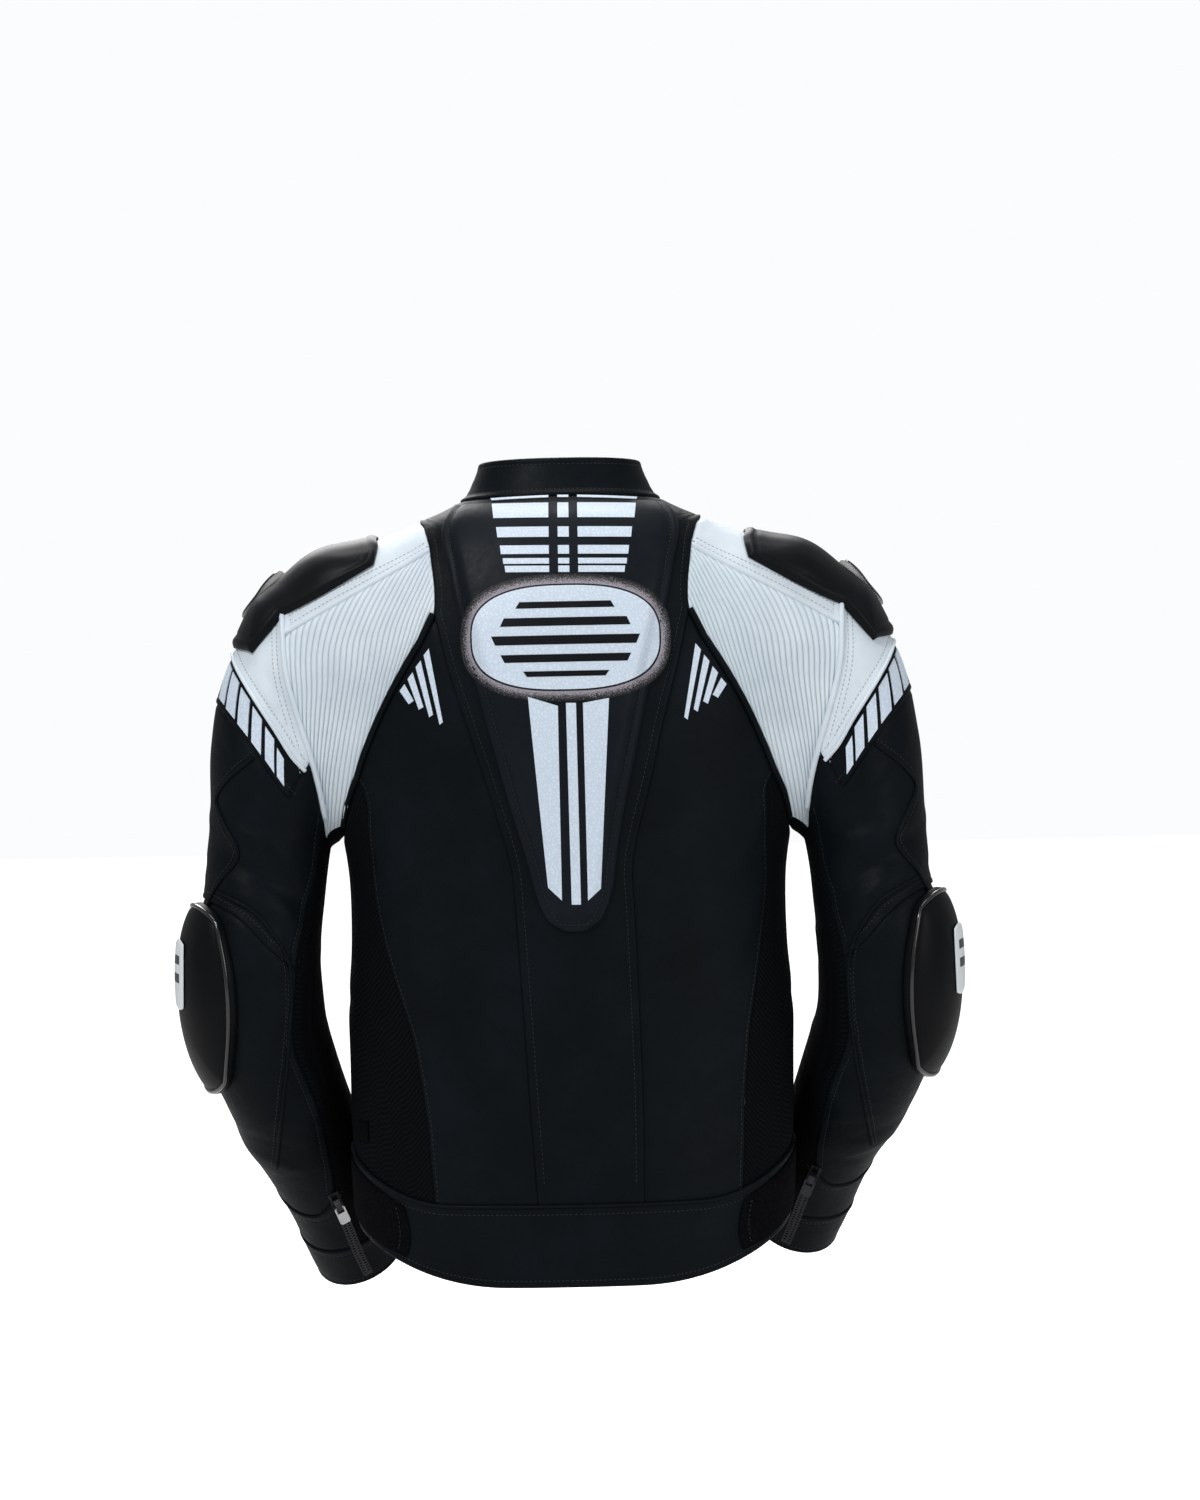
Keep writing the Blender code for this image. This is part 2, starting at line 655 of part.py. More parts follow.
def make_waistband():
    side_columns, under_columns = len(RIBBED_ANGLES[2:]) - 1, len(UNDERARM_ANGLES) + 1

    def half(side):
        seams = SEAMS[side]
        feet = [seams[name][-1][0] for name in ("princess", "side_back", "side_front")]
        back_part = waist_run(feet[0], feet[1], side_columns)
        return joined(back_part, waist_run(feet[1], feet[2], under_columns)), feet

    left, left_feet = half(1)
    right, right_feet = half(-1)
    top = joined(right[::-1] * other_way, BACK[-1], left)
    hem = np.stack([top[:, 0], hem_height(top[:, 0])], -1)
    rows = 2
    grid = patch(top, straight(top[-1], hem[-1], rows), hem, straight(top[0], hem[0], rows))
    cloth("waistband_back", body, grid, BLACK)
    for side, feet in ((1, left_feet), (-1, right_feet)):
        top = waist_run(feet[2], ZIP_ANGLE, NECK_COLUMNS_FRONT)
        hem = np.stack([top[:, 0], hem_height(top[:, 0])], -1)
        grid = patch(top, straight(top[-1], hem[-1], rows), hem, straight(top[0], hem[0], rows))
        cloth(f"waistband_front_{SIDE_NAMES[side]}", body, grid, BLACK, side)


def make_collar():
    back = BACK[0, :, 0]
    front = np.linspace(90, ZIP_ANGLE, NECK_COLUMNS_FRONT + 1)[1:]
    angles = np.concatenate([-front[::-1], back, front])
    top = np.stack([angles, np.full(angles.shape, COLLAR_HEIGHT)], -1)
    foot = np.stack([angles, np.zeros(angles.shape)], -1)
    grid = patch(top, straight(top[-1], foot[-1], 2), foot, straight(top[0], foot[0], 2))
    cloth("collar", body, grid, BLACK)


def make_waist_tabs():
    """Hook-and-loop straps that lie on the waistband at each side."""
    around, half_angle, half_height, thickness = WAIST_TAB
    _, _, wide, tall = rounded_grid(7, 4, 0.35)
    angle = around + half_angle * wide
    grid = np.stack([angle, (waist_height(angle) + hem_height(angle)) / 2 - half_height * tall], -1)
    for side, name in SIDE_NAMES.items():
        laid_on(f"waist_tab_{name}", body, grid, thickness, STRETCH_BLACK, side, roughness=0.9)


def make_side_tag():
    x, top, width, tall, thickness = SIDE_TAG
    x, height = np.meshgrid(np.linspace(x, x + width, 3), np.linspace(top, top - tall, 3))
    laid_on("side_tag_left", body, np.stack([body_angle(x, height), height], -1), thickness, BLACK)


# --- Zips --------------------------------------------------------------------------------------------------

TAPE = 0.8
CHAIN_RISE = 1.4
CHAIN_PLACES = np.array([-1.0, -0.35, 0.35, 1.0])
SLIDER_GAP = 0.8                    # between the chain and the slider's base
SLIDER_LENGTH = 10.0
SLIDER_WIDTH = 5.0
SLIDER_HEIGHT = 5.5
SLIDER_BASE = 1.8                   # thickness of its base
SLIDER_BRIDGE = 1.2                 # and of the bridge beside the hole
HOLE = (-3.0, 3.0, 2.5, 4.5)        # of the slider's bridge: from, to, bottom, top
HINGE_ALONG = 2.0                   # the pull tab's bar lies in the lower end of the hole
HINGE_HEIGHT = 3.5
PULL_THICK = 1.2
PULL_WIDTH = 8.8
PULL_BAR = 1.2
PULL_WINDOW = (5.0, 6.0)            # length and width
PULL_CORNER = 1.5
FRONT_PULL = (22.0, 14.0)           # length, and how far it stands off the cloth in degrees
CUFF_PULL = (17.0, 6.0)
FRONT_SLIDER = COLLAR_HEIGHT - 8.0


def make_front_zip():
    """Closed zip between the fronts: tape with the chain raised along its middle."""
    centre_heights = FRONT_ROWS[:, 1]
    ends = np.array([COLLAR_HEIGHT, COLLAR_HEIGHT / 2]), np.array([hem_height(ZIP_ANGLE)])
    heights = np.concatenate([ends[0], centre_heights[:-1], [waist_height(ZIP_ANGLE)], ends[1]])
    angle = 180.0 + (180.0 - ZIP_ANGLE) * CHAIN_PLACES
    angle, heights = np.broadcast_arrays(angle, heights[:, None])
    relief = np.broadcast_to(np.where(np.abs(CHAIN_PLACES) < 0.5, CHAIN_RISE, 0.0), angle.shape)
    cloth("front_zip", body, np.stack([angle, heights], -1), STRETCH_BLACK, relief=relief)


def flat_piece(name, outline, hole, thickness, place, color, roughness, metallic):
    """Plate cut from a flat outline with one hole, centred on its own plane and put at a place."""
    flat = bpy.data.curves.new(name, "CURVE")
    flat.dimensions = "2D"
    flat.fill_mode = "BOTH"
    flat.extrude = thickness / 2 * MM
    for points in (outline, hole):
        line = flat.splines.new("POLY")
        line.points.add(len(points) - 1)
        for point, (along, across) in zip(line.points, points):
            point.co = (along * MM, across * MM, 0.0, 1.0)
        line.use_cyclic_u = True
    thing = finish(bpy.data.objects.new(name, flat), color, roughness, metallic)
    thing.matrix_world = place
    return thing


def framed(foot, away, along, across, surface, side):
    """Matrix with X along, Y across and Z square to both, on the left or the right of the jacket.
    Its place is away from a foot, which is where the surface carries it."""
    away, along, across = (mirrored(item, side) for item in (away, along, across))
    origin = on_side(foot, surface, side) + away
    square = np.cross(along, across)
    frame = Matrix([list(row) for row in np.stack([along, across, square], -1)]).to_4x4()
    return Matrix.Translation(Vector(origin * MM)) @ frame


def rounded_outline(start, end, half_width, corner):
    """Outline of a tab from start to end along X, with cut corners."""
    return [
        (start, -half_width + corner), (start + corner, -half_width), (end - corner, -half_width),
        (end, -half_width + corner), (end, half_width - corner), (end - corner, half_width),
        (start + corner, half_width), (start, half_width - corner),
    ]


def make_pull(name, surface, u, v, down, base, length, tilt, side=1):
    """Slider on a zip's chain and the pull tab that hinges on its bridge."""
    u, v = np.array(float(u)), np.array(float(v))
    facing = normal(surface, u, v)
    along = unit(surface(u, v + 2.0 * down) - surface(u, v - 2.0 * down))
    along = unit(along - (along @ facing) * facing)
    across = np.cross(facing, along)
    foot = surface(u, v) + base * facing
    low, high, bottom, top = HOLE
    half = SLIDER_LENGTH / 2
    wings, top_half = SLIDER_BASE, high + SLIDER_BRIDGE
    body_outline = [
        (-half, 0), (half, 0), (half, wings),
        (top_half, SLIDER_HEIGHT), (-top_half, SLIDER_HEIGHT), (-half, wings),
    ]
    hole = [(low, bottom), (high, bottom), (high, top), (low, top)]
    place = framed(foot, 0.0 * facing, along, facing, surface, side)
    flat_piece(f"{name}_slider", body_outline, hole, SLIDER_WIDTH, place, METAL, 0.35, 1.0)
    to_hinge = HINGE_ALONG * along + HINGE_HEIGHT * facing
    lean = math.radians(tilt)
    hang = math.cos(lean) * along + math.sin(lean) * facing
    window_length, window_width = PULL_WINDOW
    outline = rounded_outline(-PULL_BAR / 2, length, PULL_WIDTH / 2, PULL_CORNER)
    gap = [
        (PULL_BAR / 2, -window_width / 2), (PULL_BAR / 2 + window_length, -window_width / 2),
        (PULL_BAR / 2 + window_length, window_width / 2), (PULL_BAR / 2, window_width / 2),
    ]
    place = framed(foot, to_hinge, hang, across, surface, side)
    flat_piece(f"{name}_pull", outline, gap, PULL_THICK, place, METAL, 0.3, 1.0)


# --- Sleeves -----------------------------------------------------------------------------------------------

CAP_ROWS, BAND_ROWS, UPPER_ROWS, ELBOW_ROWS, WRIST_ROWS, SHOULDER_ROWS = 1, 1, 5, 7, 1, 4
TIP_ROWS = SHOULDER_ROWS + CAP_ROWS + BAND_ROWS - 1

cap_edge = through(CAP_EDGE)
elbow_seam = through(ELBOW_SEAM)
wrist_seam = through(WRIST_SEAM)
back_sleeve_seam = through(BACK_SLEEVE_SEAM)


def on_sleeve(angles, heights):
    """Sleeve places from angles and from heights of the sleeve's centre."""
    angles, heights = np.broadcast_arrays(np.array(angles, float), np.array(heights, float))
    return np.stack([angles, below_cap(angles, heights)], -1)


def seam_at(table, angles):
    return on_sleeve(angles, table(np.array(angles, float))[..., 0])


def back_seam_run(start, end, count):
    heights = np.linspace(start, end, count + 1)
    return on_sleeve(back_sleeve_seam(heights)[..., 0], heights)


FRONT_EDGE = SHOULDER_ANGLES[0]
CAP_ANGLES = SHOULDER_ANGLES[:-1] + RIBBED_ANGLES[:5]
CAP_END = 120
BAND_END_ANGLE = 108


def sleeve_seams():
    """Every seam of a sleeve as a list of places that the pieces on both of its sides share."""
    cap_angles = np.array(CAP_ANGLES + [CAP_END], float)
    spread = (cap_angles - FRONT_EDGE) / (CAP_END - FRONT_EDGE)
    cap_foot = seam_at(cap_edge, FRONT_EDGE + spread * (CAP_EDGE[-1][0] - FRONT_EDGE))
    band_angles = FRONT_EDGE + spread * (BAND_END_ANGLE - FRONT_EDGE)
    band_foot = on_sleeve(band_angles, cap_edge(band_angles)[..., 0] - BAND_WIDTH)
    cap_top = np.stack([cap_angles, np.zeros(cap_angles.shape)], -1)
    cap_rest = np.array([(CAP_END, 0.0), (134, 0.0), (148, 0.0)])
    band_end = straight(cap_foot[-1], band_foot[-1], BAND_ROWS)
    upper_top = joined(band_foot, band_end[::-1], np.array([cap_foot[-1], cap_top[-1]]), cap_rest)
    place = (upper_top[:, 0] - FRONT_EDGE) / (upper_top[-1, 0] - FRONT_EDGE)
    place = 0.5 * place + 0.5 * np.linspace(0, 1, len(place))
    elbow = seam_at(elbow_seam, FRONT_EDGE + place * (ELBOW_SEAM[-1][0] - FRONT_EDGE))
    wrist = seam_at(wrist_seam, FRONT_EDGE + place * (WRIST_SEAM[-1][0] - FRONT_EDGE))
    cuff = on_sleeve(FRONT_EDGE + place * (BACK_SLEEVE_SEAM[-1][1] - FRONT_EDGE), CUFF_SEAM)
    foot = back_sleeve_seam(np.array(CUFF_SEAM))[0]
    under_angles = np.linspace(foot, UNDERARM_ANGLES[-1], len(UNDERARM_ANGLES) + 1).ravel()
    under_cuff = on_sleeve(under_angles, CUFF_SEAM)
    tip = np.array([(TIP_ANGLE_ARMHOLE, -SHOULDER_RUN), (TIP_ANGLE_CAP, 0.0)])
    inner_fold = np.array([(UNDERARM_ANGLES[-1], run) for run in (-SHOULDER_RUN, 0.0, 18.0)])
    back_rows = UPPER_ROWS + ELBOW_ROWS + WRIST_ROWS
    return {
        "front_shoulder": straight((FRONT_EDGE, -SHOULDER_RUN), (FRONT_EDGE, 0.0), SHOULDER_ROWS),
        "front_cap": straight(cap_top[0], cap_foot[0], CAP_ROWS),
        "front_band": straight(cap_foot[0], band_foot[0], BAND_ROWS),
        "front_upper": straight(band_foot[0], elbow[0], UPPER_ROWS),
        "front_elbow": straight(elbow[0], wrist[0], ELBOW_ROWS),
        "front_wrist": straight(wrist[0], cuff[0], WRIST_ROWS),
        "back_upper": joined(
            np.array([(148.0, 0.0), on_sleeve(147.0, -262)]),
            back_seam_run(-262, ELBOW_SEAM[-1][1], UPPER_ROWS - 1),
        ),
        "back_elbow": back_seam_run(ELBOW_SEAM[-1][1], WRIST_SEAM[-1][1], ELBOW_ROWS),
        "back_wrist": back_seam_run(WRIST_SEAM[-1][1], CUFF_SEAM, WRIST_ROWS),
        "cap_top": cap_top,
        "cap_foot": cap_foot,
        "cap_end": straight(cap_top[-1], cap_foot[-1], CAP_ROWS),
        "band_foot": band_foot,
        "band_end": band_end,
        "upper_top": upper_top,
        "elbow": elbow,
        "wrist": wrist,
        "cuff": cuff,
        "under_cuff": under_cuff,
        "tip": straight(tip[0], tip[1], TIP_ROWS),
        "inner": joined(
            straight(inner_fold[0], inner_fold[1], TIP_ROWS),
            inner_fold[1:],
            straight(inner_fold[2], under_cuff[-1], back_rows),
        ),
        "front_cuff": on_sleeve(FRONT_ANGLES, CUFF_SEAM),
    }


SLEEVE = sleeve_seams()


def make_shoulder(side, name):
    top = np.array([(angle, -SHOULDER_RUN) for angle in SHOULDER_ANGLES[:-1] + STRIP_ANGLES])
    foot = np.array([(angle, 0.0) for angle in SHOULDER_ANGLES + [STRIP_FOOT]])
    grid = patch(top, straight(top[-1], foot[-1], SHOULDER_ROWS), foot, SLEEVE["front_shoulder"])
    cloth(f"shoulder_panel_{name}", sleeve, grid, WHITE, side)


def make_ribbed(side, name):
    """Ribs run from the smooth shoulder panel to the tip under the arm, one after another to the cap seam."""
    across = np.linspace(-SHOULDER_RUN, 0, 2 * RIB_COUNT + 1)
    top = np.array(RIBBED_ANGLES + [TIP_ANGLE_ARMHOLE - TIP_CLEARANCE], float)
    foot = np.array(RIB_FOOT_ANGLES + [TIP_ANGLE_CAP - TIP_CLEARANCE], float)
    part = ((across + SHOULDER_RUN) / SHOULDER_RUN)[:, None]
    grid = np.stack([(1 - part) * top + part * foot, across[:, None] * np.ones(len(top))], -1)
    relief = np.where(np.arange(len(across)) % 2, RIB_HEIGHT, 0.0)[:, None] * np.ones(len(top))
    relief[:, [0, -1]] = 0.0
    cloth(f"stretch_panel_{name}", sleeve, grid, WHITE, side, relief)


def make_cap_and_band(side, name):
    cap = patch(SLEEVE["cap_top"], SLEEVE["cap_end"], SLEEVE["cap_foot"], SLEEVE["front_cap"])
    cloth(f"sleeve_cap_{name}", sleeve, cap, WHITE, side)
    band = patch(SLEEVE["cap_foot"], SLEEVE["band_end"], SLEEVE["band_foot"], SLEEVE["front_band"])
    cloth(f"sleeve_band_{name}", sleeve, band, BLACK, side)


def make_back_of_sleeve(side, name):
    for piece, top, right, foot, left in (
        ("upper_sleeve", "upper_top", "back_upper", "elbow", "front_upper"),
        ("elbow_panel", "elbow", "back_elbow", "wrist", "front_elbow"),
        ("wrist_panel", "wrist", "back_wrist", "cuff", "front_wrist"),
    ):
        grid = patch(SLEEVE[top], SLEEVE[right], SLEEVE[foot], SLEEVE[left])
        cloth(f"{piece}_{name}", sleeve, grid, BLACK, side)


def make_inside_of_sleeve(side, name):
    """Stretch piece from the armhole to the cuff next to the body, and the plain piece in front of it."""
    top = np.array([(angle, -SHOULDER_RUN) for angle in [TIP_ANGLE_ARMHOLE] + UNDERARM_ANGLES], float)
    cap_part = np.array([SLEEVE["tip"][-1], SLEEVE["back_upper"][0]]) + np.array([0.0, TIP_DROP])
    below = joined(SLEEVE["back_upper"], SLEEVE["back_elbow"], SLEEVE["back_wrist"])
    back_edge = np.vstack([SLEEVE["tip"][:-1], cap_part, below[1:]])
    grid = patch(top, SLEEVE["inner"], SLEEVE["under_cuff"], back_edge, late=3)
    cloth(f"under_sleeve_{name}", sleeve, grid, STRETCH_BLACK, side)
    top = np.array([(angle, -SHOULDER_RUN) for angle in FRONT_ANGLES], float)
    parts = ("shoulder", "cap", "band", "upper", "elbow", "wrist")
    outer_edge = joined(*(SLEEVE[f"front_{part}"] for part in parts))
    grid = patch(top, outer_edge + np.array([360.0, 0.0]), SLEEVE["front_cuff"], SLEEVE["inner"])
    cloth(f"front_sleeve_{name}", sleeve, grid, BLACK, side)


def make_cuff(side, name):
    angles = np.concatenate([SLEEVE["cuff"][:, 0], SLEEVE["under_cuff"][1:, 0], FRONT_ANGLES[1:]])
    top, foot = on_sleeve(angles, CUFF_SEAM), on_sleeve(angles, SLEEVE_END)
    grid = patch(top, straight(top[-1], foot[-1], 1), foot, straight(top[0], foot[0], 1))
    cloth(f"cuff_{name}", sleeve, grid, BLACK, side, sides="tb", closed=True)


def make_shoulder_cup(side, name):
    """Moulded cup on the shoulder and the gloss plate set on it."""
    middle, level, half_angle, half_run = SHOULDER_CUP
    a, b, wide, tall = rounded_grid(12, 12, 0.55)
    grid = np.stack([middle + half_angle * wide - SHOULDER_CUP_LEAN * tall, level + half_run * tall], -1)
    ridges = SHOULDER_CUP_RIDGE * np.cos(math.tau * (b + SHOULDER_CUP_CREST)) * (1 - np.maximum(abs(a), abs(b)) ** 4)
    rise = (dome(a, b, SHOULDER_CUP_EDGE, SHOULDER_CUP_FULL) + ridges) * (1.1 + SHOULDER_CUP_OUTER * b)
    laid_on(f"shoulder_cup_{name}", sleeve, grid, rise, BLACK, side, CUP_GAP)
    middle, level, half_angle, half_run = SHOULDER_PLATE
    a, b, wide, tall = rounded_grid(4, 4, 0.8)
    grid = np.stack([middle + half_angle * wide, level + half_run * tall], -1)
    rise = dome(a, b, PLATE_EDGE, PLATE_FULL)
    laid_on(f"shoulder_plate_{name}", sleeve, grid, rise, GLOSS_BLACK, side, CUP_GAP + PLATE_RISE, 0.1)


def make_elbow_cup(side, name):
    """Hard cup on the elbow with a small plate near its middle."""
    middle, level, half_angle, half_height = ELBOW_CUP
    a, b, wide, tall = rounded_grid(8, 8, 0.9)
    grid = on_sleeve(middle + half_angle * wide, level - half_height * tall)
    rise = dome(a, b, ELBOW_CUP_EDGE, ELBOW_CUP_FULL)
    laid_on(f"elbow_cup_{name}", sleeve, grid, rise, GLOSS_BLACK, side, CUP_GAP, roughness=0.25)
    middle, level, half_angle, half_height = ELBOW_BADGE
    _, _, wide, tall = rounded_grid(4, 4, 0.5)
    grid = on_sleeve(middle + half_angle * wide, level - half_height * tall)
    base = CUP_GAP + ELBOW_CUP_FULL + BADGE_RISE
    laid_on(f"elbow_badge_{name}", sleeve, grid, BADGE_THICK, WHITE, side, base)


CUFF_ZIP_TOP = -530.0
CUFF_ZIP_END = -606.0
CUFF_ZIP_MIDDLE = 107.0             # degrees
CUFF_ZIP_HALF = 6.0
CUFF_SLIDER = -537.0                # height of the slider


def make_cuff_zip(side, name):
    """Zip that lies on the sleeve's back seam and closes the cuff."""
    heights = np.linspace(CUFF_ZIP_TOP, CUFF_ZIP_END, 5)[:, None]
    angle, heights = np.broadcast_arrays(CUFF_ZIP_MIDDLE + CUFF_ZIP_HALF * CHAIN_PLACES, heights)
    rise = TAPE + np.broadcast_to(np.where(np.abs(CHAIN_PLACES) < 0.5, CHAIN_RISE, 0.0), angle.shape)
    laid_on(f"cuff_zip_{name}", sleeve, on_sleeve(angle, heights), rise, STRETCH_BLACK, side)
    run = float(below_cap(np.array(CUFF_ZIP_MIDDLE), CUFF_SLIDER))
    base = LAY_GAP + TAPE + CHAIN_RISE + SLIDER_GAP
    make_pull(f"cuff_zip_{name}", sleeve, CUFF_ZIP_MIDDLE, run, 1, base, *CUFF_PULL, side)


make_collar()
make_back_panel()
make_hump()
make_back_sides()
make_side_panels()
make_fronts()
make_waistband()
make_waist_tabs()
make_side_tag()
make_front_zip()
make_pull("front_zip", body, 180.0, FRONT_SLIDER, -1, CHAIN_RISE + SLIDER_GAP, *FRONT_PULL)
for SIDE, NAME in SIDE_NAMES.items():
    make_shoulder(SIDE, NAME)
    make_ribbed(SIDE, NAME)
    make_cap_and_band(SIDE, NAME)
    make_back_of_sleeve(SIDE, NAME)
    make_inside_of_sleeve(SIDE, NAME)
    make_cuff(SIDE, NAME)
    make_shoulder_cup(SIDE, NAME)
    make_elbow_cup(SIDE, NAME)
    make_cuff_zip(SIDE, NAME)
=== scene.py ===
"""Looks of the leather racing jacket: every cut piece, its seams, stitches, prints, cups and zips.

Tables are in millimetres and degrees, and the model is in metres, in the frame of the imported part.
Round the body 0 degrees is the centre back, 90 the side and 180 the centre front, positive to the wearer's left.
Round a sleeve 0 degrees is the outer side, 90 the back, 180 the side next to the body and 270 the front.
"""
import math

import bmesh
import bpy
import numpy as np
from mathutils import Matrix, Vector


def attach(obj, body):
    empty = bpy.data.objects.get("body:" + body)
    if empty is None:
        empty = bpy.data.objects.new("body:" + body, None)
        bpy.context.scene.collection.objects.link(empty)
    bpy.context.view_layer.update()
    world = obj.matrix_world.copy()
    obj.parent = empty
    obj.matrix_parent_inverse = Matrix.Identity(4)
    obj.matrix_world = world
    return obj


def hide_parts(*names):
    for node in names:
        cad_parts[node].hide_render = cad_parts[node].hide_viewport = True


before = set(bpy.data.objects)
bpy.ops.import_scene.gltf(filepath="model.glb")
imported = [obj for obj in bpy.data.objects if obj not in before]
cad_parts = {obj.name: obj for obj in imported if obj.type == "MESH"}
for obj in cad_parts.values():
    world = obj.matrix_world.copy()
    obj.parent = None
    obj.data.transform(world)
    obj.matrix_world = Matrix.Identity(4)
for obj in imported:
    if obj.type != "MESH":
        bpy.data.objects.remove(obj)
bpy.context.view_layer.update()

# --- Centre back panel -------------------------------------------------------------------------------------
# The panel between the two long back seams: 1.2 mm cowhide, drum dyed black, on a mesh lining.
# Its edges are turned over the side panels and held by a row of stitches 6 mm inside the seam.

MM = 0.001
WALL = 2.0              # leather with its backing
SEAM_GAP = 0.3          # between two pieces on the outer side
SEAM_LAP = 0.5          # of each piece under the other on the inner side, so that no light shows through
SAME_PLACE = 1e-7       # metres within which two corners are one
LAY_GAP = 0.5           # what lies on a panel starts this far above it
BODY_ROUNDNESS = 2.3
NECK_DROP, NECK_DROP_REACH = 38.0, 100.0
WAIST_SEAM, WAIST_RISE = -551.0, 40.0
HEM, HEM_RISE = -613.0, 46.0

# Height, half width, depth to the back, depth to the front
BODY_SECTIONS = [
    (30, 64, 60, 54), (15, 70, 64, 57), (0, 80, 71, 63), (-8, 95, 79, 69), (-15, 111, 87, 73), (-30, 134, 96, 81),
    (-50, 152, 104, 90), (-75, 166, 111, 99), (-100, 174, 116, 106), (-150, 182, 121, 117), (-200, 184, 122, 123),
    (-250, 181, 118, 124), (-300, 174, 112, 121), (-350, 174, 108, 118), (-400, 177, 106, 115),
    (-450, 177, 106, 113), (-500, 176, 108, 112), (-550, 174, 112, 113), (-620, 169, 114, 113),
]
# Angle round the sleeve, half width on the body, height, 1 at the back or -1 at the front
ARMHOLE = [
    (0, 111, -15, 1), (12, 109, -20, 1), (24, 106, -27, 1), (36, 104, -34, 1), (48, 102, -42, 1), (63, 99, -65, 1),
    (78, 99, -92, 1), (92, 110, -114, 1), (106, 124, -136, 1), (120, 138, -161, 1), (134, 151, -188, 1),
    (148, 163, -219, 1), (166, 176, -256, 1), (182, 179, -266, -1), (198, 173, -256, -1), (215, 160, -234, -1),
    (235, 144, -200, -1), (255, 127, -160, -1), (275, 114, -120, -1), (295, 108, -88, -1), (315, 107, -60, -1),
    (335, 108, -34, -1), (348, 109, -22, -1),
]
# Height, half width, turn of the worn jacket
PRINCESS_SEAM = [
    (-99, 97, 0), (-126, 91, 0), (-178, 76, -1), (-229, 62, -3), (-254, 55, -3), (-288, 47, -4),
    (-326, 46, -6), (-398, 45, -9), (-482, 43.5, -12), (-551, 41, -13.5),
]
BACK_HEIGHTS = [-128, -166, -206, -244, -278, -304, -322, -337, -388, -442, -497, WAIST_SEAM]
SHOULDER_ANGLES = [-25, -12, 0, 12, 24, 36, 48]
RIBBED_ANGLES = [48, 63, 78, 92, 106, 120, 134, 148]

# How the leather lies beside a seam: distance from it and height above the smooth surface
SEAM_EDGES = {
    "under": [(0, -0.9), (1.5, -0.5), (4, 0)],
    "over": [(0, -0.5), (0.5, 0.5), (1.2, 0.9), (3, 0.85), (4.6, 0.45), (5.8, 0.1), (6.6, 0.1), (8, 0.35), (11, 0)],
    "flat": [(0, -0.9), (0.8, -0.1), (1.6, 0.25), (2.4, 0.05), (3.1, -0.25), (3.8, 0.05), (6, 0.2), (10, 0)],
    "open": [(0, -0.6), (0.5, 0.1), (1.5, 0.4), (3, 0.35), (4.2, 0.0), (5, -0.2), (6, 0), (9, 0)],
}
EDGE_LINES = [0, 0.7, 1.5, 2.3, 3.1, 4.2, 5.6, 7.5]      # mesh lines beside a seam
BODY_STEP = 5.0                                         # and elsewhere
CORNER = 25.0                                           # degrees at which an edge turns a corner

# Creases of the worn body: from angle and height to angle and height, bow, half width and height of the fold
BODY_CREASES = [
    (62, -225, 38, -330, 10, 9, 1.3), (-60, -222, -37, -322, -9, 9, 1.2), (70, -262, 52, -380, 8, 11, -1.2),
    (-69, -256, -50, -372, -8, 11, -1.1), (34, -345, 8, -372, 6, 10, -1.0), (-40, -352, -14, -380, -6, 10, -0.9),
    (58, -420, 22, -452, 8, 9, 1.1), (-60, -416, -26, -455, -8, 9, 1.1), (66, -452, 30, -488, 7, 10, -1.2),
    (-66, -446, -32, -490, -7, 10, -1.2), (48, -500, 16, -528, 5, 9, 1.0), (-50, -498, -18, -530, -5, 9, 0.9),
    (82, -350, 60, -366, 5, 8, 1.2), (-84, -346, -62, -364, -5, 8, 1.2), (96, -380, 74, -402, 5, 9, -1.2),
    (-95, -384, -74, -404, -5, 9, -1.2), (120, -300, 150, -250, 8, 10, 1.6), (-122, -296, -150, -252, -8, 10, 1.5),
    (118, -340, 156, -318, 6, 10, -1.5), (-118, -336, -154, -312, -6, 10, -1.5), (125, -420, 165, -400, 6, 9, 1.4),
    (-126, -424, -164, -406, -6, 9, 1.4), (122, -470, 160, -486, 6, 9, -1.3), (-120, -474, -162, -484, -6, 9, -1.3),
    (140, -190, 168, -230, 8, 9, -1.2), (-140, -194, -168, -226, -8, 9, -1.2),
]
BODY_DEGREE = 2.5       # mm round the body for one degree


def smooth_step(start, end, value):
    part = np.clip((np.asarray(value, float) - start) / (end - start), 0.0, 1.0)
    return part * part * (3.0 - 2.0 * part)


def through(table, closed=False):
    """Smooth curve through a table: the first column is the place along it, the others are its values."""
    rows = np.array(sorted(table), float)
    if closed:
        turn = np.zeros(rows.shape[1])
        turn[0] = 360.0
        rows = np.vstack([rows[-2:] - turn, rows, rows[:2] + turn])
    places, values = rows[:, 0], rows[:, 1:]
    slopes = np.gradient(values, places, axis=0)

    def at(place):
        place = np.asarray(place, float)
        if closed:
            place = place % 360.0
        low = np.clip(np.searchsorted(places, place, side="right") - 1, 0, len(places) - 2)
        span = (places[low + 1] - places[low])[..., None]
        part = np.clip((place[..., None] - places[low][..., None]) / span, 0.0, 1.0)
        rest = 1.0 - part
        return (
            (1 + 2 * part) * rest**2 * values[low]
            + part * rest**2 * span * slopes[low]
            + part**2 * (3 - 2 * part) * values[low + 1]
            - part**2 * rest * span * slopes[low + 1]
        )

    return at


def unit(vectors):
    return vectors / np.maximum(np.linalg.norm(vectors, axis=-1, keepdims=True), 1e-9)


def signed_power(value, power):
    return np.sign(value) * np.abs(value) ** power


body_section = through(BODY_SECTIONS)


